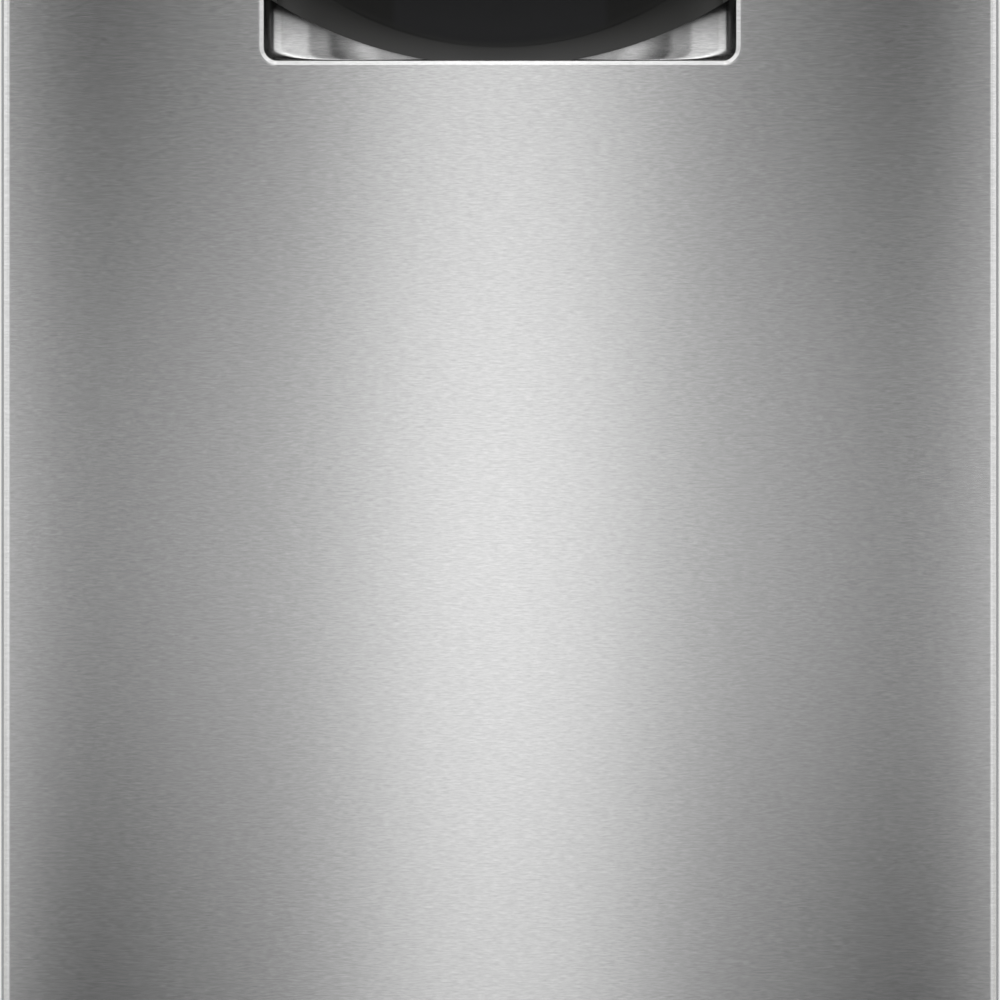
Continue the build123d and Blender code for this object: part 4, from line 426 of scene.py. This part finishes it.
steel, shader, place = new_finish(
    "brushed_steel", Metallic=1.0, Anisotropic=0.97, Anisotropic_Rotation=0.25
)
fine, coarse = brushing(place, *FINE_STREAK), brushing(place, *COARSE_STREAK)
streaks = fine * 0.68 + coarse * 0.28 + clouds(place, 22.0, 2.0) * 0.04
bare = tinted(span(streaks, 0.3, 0.7), (0.51, 0.51, 0.51), (0.67, 0.67, 0.67))
# Painted shade: inside the pocket, behind the face and short of its ends, the steel's base colour is painted
# darker towards the top, as the shade that the fascia above casts into it.
off_the_ends = span(abs(component(place, "X")), POCKET_HALF - 0.003, POCKET_HALF - 0.005)
behind_the_face = span(component(place, "Y"), DOOR_FACE + 0.003, DOOR_FACE + 0.007)
under_the_hood = span(component(place, "Z"), POCKET_FLOOR + 0.008, POCKET_FLOOR + 0.030)
shade = off_the_ends * behind_the_face * under_the_hood * 0.76
feed(shader, "Base Color", tinted(shade, bare, (0.02, 0.02, 0.02)))
feed(shader, "Roughness", streaks * 0.04 + 0.197)
feed(shader, "Normal", bump(fine, 0.12, 0.00004))

front = box_shape((-DOOR_HALF, DOOR_FACE, DOOR_LOW), (DOOR_HALF, SKIN_BACK, SKIN_TOP))
uprights = [
    edge for edge in front.edges
    if abs(edge.verts[1].co.z - edge.verts[0].co.z) > TOUCH
    and all(abs(vert.co.y - DOOR_FACE) < TOUCH for vert in edge.verts)
]
rounded(front, uprights, LONG_EDGE_RADIUS, LONG_EDGE_STEPS)
front = carved(front, pocket_shape(0, SKIN_TOP + OVERRUN))
bmesh.ops.remove_doubles(front, verts=front.verts, dist=MERGE_GAP)
bmesh.ops.dissolve_limit(front, angle_limit=MERGE_ANGLE, verts=front.verts, edges=front.edges)
rim = [
    edge for edge in front.edges
    if all(abs(vert.co.y - DOOR_FACE) < TOUCH and near_pocket(vert.co) for vert in edge.verts)
    and not all(vert.co.z > SKIN_TOP - TOUCH for vert in edge.verts)
]
rounded(front, rim, LIP_WIDTH, 1)
for vert in front.verts:
    if abs(vert.co.y - DOOR_FACE - LIP_WIDTH) < TOUCH and near_pocket(vert.co):
        vert.co.y = DOOR_FACE + LIP_DEPTH
door_front = new_piece("door_front", front, steel, "door", "door_skin", smooth=25)
softened(door_front, 0.0005, 3, 27)

# The grip is one black moulding that lines the pocket and goes up behind the fascia. Below it ends on a
# wide arc. Inside a second arc its wall is thinner, and thinner still in the middle, for the fingers.
GRIP_FRONT = DOOR_FACE + 0.0028
GRIP_TOP, HOLLOW_TOP, FIT = 0.764, 0.760, 0.00005
WIDE_ARC, WIDE_ARC_LOW = 0.2584, 0.6736
INNER_ARC, INNER_ARC_LOW = 0.192, 0.6848
WELL_HALF, WELL_LOW = 0.0645, 0.698
GRIP_WALL, THIN_WALL, WELL_WALL = 0.0075, 0.005, 0.003
ARC_STEPS = 220


def grain(place, scale, height):
    """The fine, even texture of a spark-eroded mould, as a bump."""
    cells = place.node(
        "TexVoronoi", {"feature": "SMOOTH_F1"}, {"Vector": place, "Scale": scale, "Smoothness": 0.6}
    )
    return bump(cells * 0.5 + clouds(place, scale * 0.6, 3.0) * 0.5, 0.35, height)


def arc_distance(x, z, radius, low):
    """How far a point of the door's face is from the centre of an arc."""
    rise = z - (low + radius)
    return x.maths("SQRT", x * x + rise * rise)


def disc_shape(radius, low, front, back):
    """A round slab that stands across the door, from its lowest point."""
    shape = bmesh.new()
    bmesh.ops.create_cone(
        shape, cap_ends=True, segments=ARC_STEPS, radius1=radius, radius2=radius, depth=back - front
    )
    upright = Matrix.Rotation(math.radians(90), 4, "X")
    moved = Matrix.Translation((0, (front + back) / 2, low + radius)) @ upright
    bmesh.ops.transform(shape, matrix=moved, verts=shape.verts)
    return shape


grip_black, shader, place = new_finish("grip_black", Specular_IOR_Level=0.28)
x, z = abs(component(place, "X")), component(place, "Z")
from_inner = arc_distance(x, z, INNER_ARC, INNER_ARC_LOW)
inside = span(from_inner, INNER_ARC + 0.0015, INNER_ARC - 0.0055, "SMOOTHSTEP")
# Painted light: the band along the wide arc's lower edge is painted lighter towards its middle, as light
# falling on it.
lower_rim = span(arc_distance(x, z, WIDE_ARC, WIDE_ARC_LOW), WIDE_ARC - 0.0154, WIDE_ARC - 0.0009)
painted_rim_light = tinted(span(x, 0.03, 0.11), (0.082, 0.082, 0.081), (0.030, 0.030, 0.029))
band_with_painted_light = tinted(lower_rim, (0.0105, 0.0105, 0.0095), painted_rim_light)
# Painted shade: inside the inner arc the black is painted darker, as shade in the recess. In the well it is
# a little lighter and bluer than beside it.
outside_well = span(x, WELL_HALF - 0.0025, WELL_HALF + 0.0015)
painted_recess_shade = tinted(outside_well, (0.0075, 0.0078, 0.0088), (0.0035, 0.0035, 0.003))
feed(shader, "Base Color", tinted(inside, band_with_painted_light, painted_recess_shade))
feed(shader, "Roughness", clouds(place, 30.0, 4.0) * 0.12 + 0.4 + inside * 0.1)
feed(shader, "Normal", grain(place, 1800.0, 0.00004))

lining = carved(
    pocket_shape(-FIT, GRIP_TOP), disc_shape(WIDE_ARC, WIDE_ARC_LOW, GRIP_FRONT, POCKET_BACK + OVERRUN),
    "INTERSECT",
)
lining = carved(lining, pocket_shape(-GRIP_WALL, HOLLOW_TOP, 1.5 * OVERRUN))
before_face = DOOR_FACE - 1.5 * OVERRUN
inner_disc = disc_shape(INNER_ARC, INNER_ARC_LOW, before_face, POCKET_BACK + OVERRUN)
lining = carved(lining, carved(pocket_shape(-THIN_WALL, HOLLOW_TOP), inner_disc, "INTERSECT"))
well = box_shape((-WELL_HALF, before_face, WELL_LOW), (WELL_HALF, POCKET_BACK + OVERRUN, HOLLOW_TOP + 0.001))
lining = carved(lining, carved(pocket_shape(-WELL_WALL, HOLLOW_TOP), well, "INTERSECT"))
grip = new_piece("grip", lining, grip_black, "door", "handle_grip", smooth=60)
softened(grip, 0.0012, 4, 50)


# The fascia is the control panel above the steel, one moulding with holes for the keys. It is silver
# lacquered plastic, with fine metal flakes under a clear coat.
def flecks(place, scale, axis="X"):
    """Small cells of random grey: metal flakes, spangle or specks."""
    return component(place.node("TexVoronoi", {}, {"Vector": place, "Scale": scale}, "Color"), axis)


def dressed(node, material, radius=0.0004, segments=2):
    """A copy of a CAD solid that stands for it: merged into whole faces, with small edge radii."""
    source = frame["nodes"][node]
    shape = bmesh.new()
    shape.from_mesh(source.data)
    bmesh.ops.remove_doubles(shape, verts=shape.verts, dist=0.00001)
    bmesh.ops.dissolve_limit(
        shape, angle_limit=math.radians(0.6), verts=shape.verts, edges=shape.edges
    )
    piece = new_piece(node + "_made", shape, material, source["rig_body"], node)
    softened(piece, radius, segments)


fascia_silver, shader, place = new_finish(
    "fascia_silver", Metallic=0.55, Coat_Weight=0.35, Coat_Roughness=0.12
)
sparkle = flecks(place, 2600.0)
feed(shader, "Base Color", tinted(sparkle, (0.40, 0.40, 0.40), (0.52, 0.52, 0.51)))
feed(shader, "Roughness", sparkle * 0.12 + 0.28)
feed(shader, "Normal", bump(sparkle, 0.15, 0.00003))
dressed("fascia", fascia_silver)


# The keys stand in the fascia's holes: one that switches the machine on, one that starts it, and four
# for the programmes. They are silver grey mouldings, each with a rim behind the hole that holds it.
def moulded(name, colour, roughness, scale=2600.0, height=0.00006, spread=0.12, **more):
    """A moulded plastic: even colour with faint flow marks, a grained face and a varied sheen."""
    material, shader, place = new_finish(name, **more)
    flow = clouds(place, 9.0, 4.0, Distortion=0.4)
    low, high = [[level * share for level in colour] for share in (1 - spread, 1 + spread)]
    feed(shader, "Base Color", tinted(flow, low, high))
    feed(shader, "Roughness", flow * 0.12 + (roughness - 0.06))
    feed(shader, "Normal", grain(place, scale, height))
    return material


key_silver = moulded("key_silver", (0.30, 0.30, 0.31), 0.3, 3200.0, 0.00003, Metallic=0.3)
for key in ("power_button", "start_button", *[f"programme_button_{number}" for number in range(1, 5)]):
    dressed(key, key_silver, 0.00035, 3)

# The display window between the keys is a strip of smoked acrylic, polished on its face. It lies flush
# in the fascia, with a rim behind the hole's edge.
glass, shader, place = new_finish(
    "display_glass", Specular_IOR_Level=0.3, Coat_Weight=0.25, Coat_Roughness=0.03
)
haze = clouds(place, 40.0, 3.0)
feed(shader, "Base Color", tinted(haze, (0.008, 0.009, 0.011), (0.014, 0.015, 0.018)))
feed(shader, "Roughness", haze * 0.05 + 0.07)
dressed("display_window", glass, 0.0002)


# The side panels are steel sheets whose four edges are folded inwards, sprayed with grey enamel. They
# stand beside the base tray and carry the worktop.
def painted(name, colour, roughness, peel=0.00003, metallic=0.0):
    """Sprayed enamel: a fine orange-peel surface over an even colour."""
    material, shader, place = new_finish(
        name, Metallic=metallic, Coat_Weight=0.15, Coat_Roughness=0.3
    )
    drift = clouds(place, 3.0, 3.0)
    skin = clouds(place, 700.0, 2.0)
    low, high = [[level * share for level in colour] for share in (0.94, 1.05)]
    feed(shader, "Base Color", tinted(drift, low, high))
    feed(shader, "Roughness", drift * 0.08 + skin * 0.05 + (roughness - 0.06))
    feed(shader, "Normal", bump(skin, 0.3, peel))
    return material


casing_grey = painted("casing_grey", (0.50, 0.51, 0.52), 0.42, metallic=0.15)
dressed("left_side_panel", casing_grey)
dressed("right_side_panel", casing_grey)

# The plinth is a black enamelled toe panel, folded back along its top and ends, that closes the front
# below the door. A hole in it reaches the rear foot's shaft.
plinth_black = painted("plinth_black", (0.030, 0.030, 0.033), 0.45)
dressed("plinth", plinth_black, 0.0006)

# The rear panel is a bare sheet of galvanised steel, stiffened by four pressed beads. Its zinc has
# frozen in flat crystals that differ in brightness.
zinc_sheet, shader, place = new_finish("zinc_sheet", Metallic=0.85)
spangle = flecks(place, 95.0)
feed(shader, "Base Color", tinted(spangle, (0.44, 0.45, 0.46), (0.58, 0.59, 0.60)))
feed(shader, "Roughness", spangle * 0.16 + 0.32)
dressed("rear_panel", zinc_sheet)

# The worktop is a removable particle board, with a speckled grey laminate on every face and softened
# front and side edges.
laminate, shader, place = new_finish("worktop_laminate", Coat_Weight=0.1, Coat_Roughness=0.4)
mist = clouds(place, 14.0, 5.0)
speckle = flecks(place, 520.0, "Y") * 0.6 + mist * 0.4
feed(shader, "Base Color", tinted(speckle, (0.33, 0.34, 0.35), (0.50, 0.51, 0.52)))
feed(shader, "Roughness", mist * 0.1 + 0.42)
feed(shader, "Normal", bump(mist, 0.2, 0.00008))
dressed("worktop", laminate)

# The base is one dark moulded tray with bosses for three feet and posts under the tub. The feet are
# mouldings of the same plastic, and their stems turn in the bosses.
base_grey = moulded("base_grey", (0.055, 0.057, 0.062), 0.5, 1500.0, 0.0001)
for node in ("base_tray", "front_left_foot", "front_right_foot", "rear_foot"):
    dressed(node, base_grey, 0.0006)

# The rear foot is set from the front by a long shaft through the base, with a socket in its head. It
# is turned from steel bar and plated with zinc.
zinc, shader, place = new_finish("zinc_plate", Metallic=0.95)
bloom = clouds(place, 120.0, 4.0)
feed(shader, "Base Color", tinted(bloom, (0.50, 0.51, 0.50), (0.62, 0.63, 0.62)))
feed(shader, "Roughness", bloom * 0.2 + 0.25)
dressed("rear_foot_shaft", zinc, 0.0003)

# The tub is deep drawn from satin stainless sheet: the chamber, the basin in its floor, and the flange
# round its mouth that carries the seal.
tub_steel, shader, place = new_finish("tub_steel", Metallic=1.0)
satin = clouds(place, 900.0, 2.0)
drawn = clouds(place, 6.0, 3.0)
feed(shader, "Base Color", tinted(drawn, (0.58, 0.58, 0.57), (0.66, 0.66, 0.65)))
feed(shader, "Roughness", satin * 0.08 + drawn * 0.1 + 0.22)
feed(shader, "Normal", bump(satin, 0.12, 0.00005))
dressed("tub", tub_steel)

# The seals are black rubber. One runs round the sides and top of the tub's mouth, where the closed
# door rests on it, and one is a lip along the bottom of the door's liner.
rubber = moulded("seal_rubber", (0.026, 0.026, 0.028), 0.62, 1400.0, 0.00008)
dressed("tub_gasket", rubber, 0.0008, 3)
dressed("door_seal", rubber, 0.0005)

# The sump is a grey moulding under the basin, with the spindle that carries the lower spray arm. A flat
# filter plate of stainless sheet lies on the basin's floor, and the moulded filter cup is twisted in.
grey_plastic = moulded("grey_plastic", (0.19, 0.20, 0.215), 0.42)
dressed("sump", grey_plastic, 0.0005)
dressed("fine_filter", tub_steel, 0.0002)
dressed("filter_cup", grey_plastic, 0.0005)

# The pumps plug into the sump, one on each side of it. The large one lies on its side, has a black
# painted can and feeds the arms, and the small grey one empties the machine.
pump_black = painted("pump_black", (0.07, 0.07, 0.075), 0.35)
dressed("circulation_pump", pump_black, 0.0008)
dressed("drain_pump", grey_plastic, 0.0008)

# The softener and its salt reservoir are a pale welded box of mouldings beside the sump. Its neck comes
# up through the basin's floor and is closed by a grey screw cap.
pale_plastic = moulded("pale_plastic", (0.60, 0.61, 0.63), 0.38, spread=0.05)
dressed("softener", pale_plastic, 0.001)
dressed("salt_cap", grey_plastic, 0.0006)

# The inlet valve is a pale moulding inside the base's rear wall, with its thread outside. The plate with
# the drain spigot and the cable gland is a dark one, fixed to the same wall.
dressed("inlet_valve", pale_plastic, 0.0005)
dressed("rear_connections", base_grey, 0.0005)

# The spray arms are pale two-bladed mouldings that turn on a spindle. The riser goes up the tub's rear
# wall and along its ceiling, and the duct under the upper rack feeds the upper arm.
for node in ("lower_spray_arm", "upper_spray_arm"):
    dressed(node, pale_plastic, 0.0005)
for node in ("water_riser", "upper_feed_pipe"):
    dressed(node, pale_plastic, 0.001)

# The racks and their folding tines are welded from steel wire and dipped in a grey plastic coat. The
# tine rows turn in clips on the rack's floor.
rack_coat = moulded("rack_coat", (0.40, 0.42, 0.45), 0.36, 700.0, 0.00012, 0.06)
for node in ("lower_rack", "upper_rack", "lower_tines_left", "lower_tines_middle"):
    dressed(node, rack_coat, 0.0013)

# The cup shelves, wheels and cutlery basket are grey mouldings. The shelves turn on rods of the upper
# rack, the wheels on axles of the lower one, and the basket stands in the lower one.
for hand in ("left", "right"):
    dressed("cup_shelf_" + hand, grey_plastic, 0.0009)
    for end in ("front", "rear"):
        dressed(f"wheel_{end}_{hand}", grey_plastic, 0.0006)
dressed("cutlery_basket", grey_plastic, 0.0003)

# The upper rack's slides run in rails of C section, fixed to the tub's sides. Both are rolled from
# stainless sheet.
for node in ("rack_rails", "rail_slides"):
    dressed(node, tub_steel, 0.0003)

# The door liner is a stainless pressing with folded edges and a raised middle panel, and holes for the
# dispenser and the latch. The hinge arms are fixed to its folds.
dressed("door_liner", tub_steel, 0.0003)

# The dispenser is a pale moulded box through the liner, with a face plate on it. A grey lid slides down
# from the detergent chamber, and a round grey cap closes the rinse aid's.
dressed("dispenser", pale_plastic, 0.0006)
for node in ("detergent_lid", "rinse_cap"):
    dressed(node, grey_plastic, 0.0006)

# The latch and the hinges are pressings of zinc plated steel. The sprung claw in the door's top edge
# holds the strike on the tub, and springs in the base balance the door by cables.
for node in (
    "latch_strike", "latch_housing", "latch_claw", "hinge_brackets", "hinge_arms", "door_springs",
):
    dressed(node, zinc, 0.0003)

# The control module is a closed black housing of electronics on the fascia's posts, behind the keys'
# plungers.
dressed("control_module", plinth_black, 0.0005)
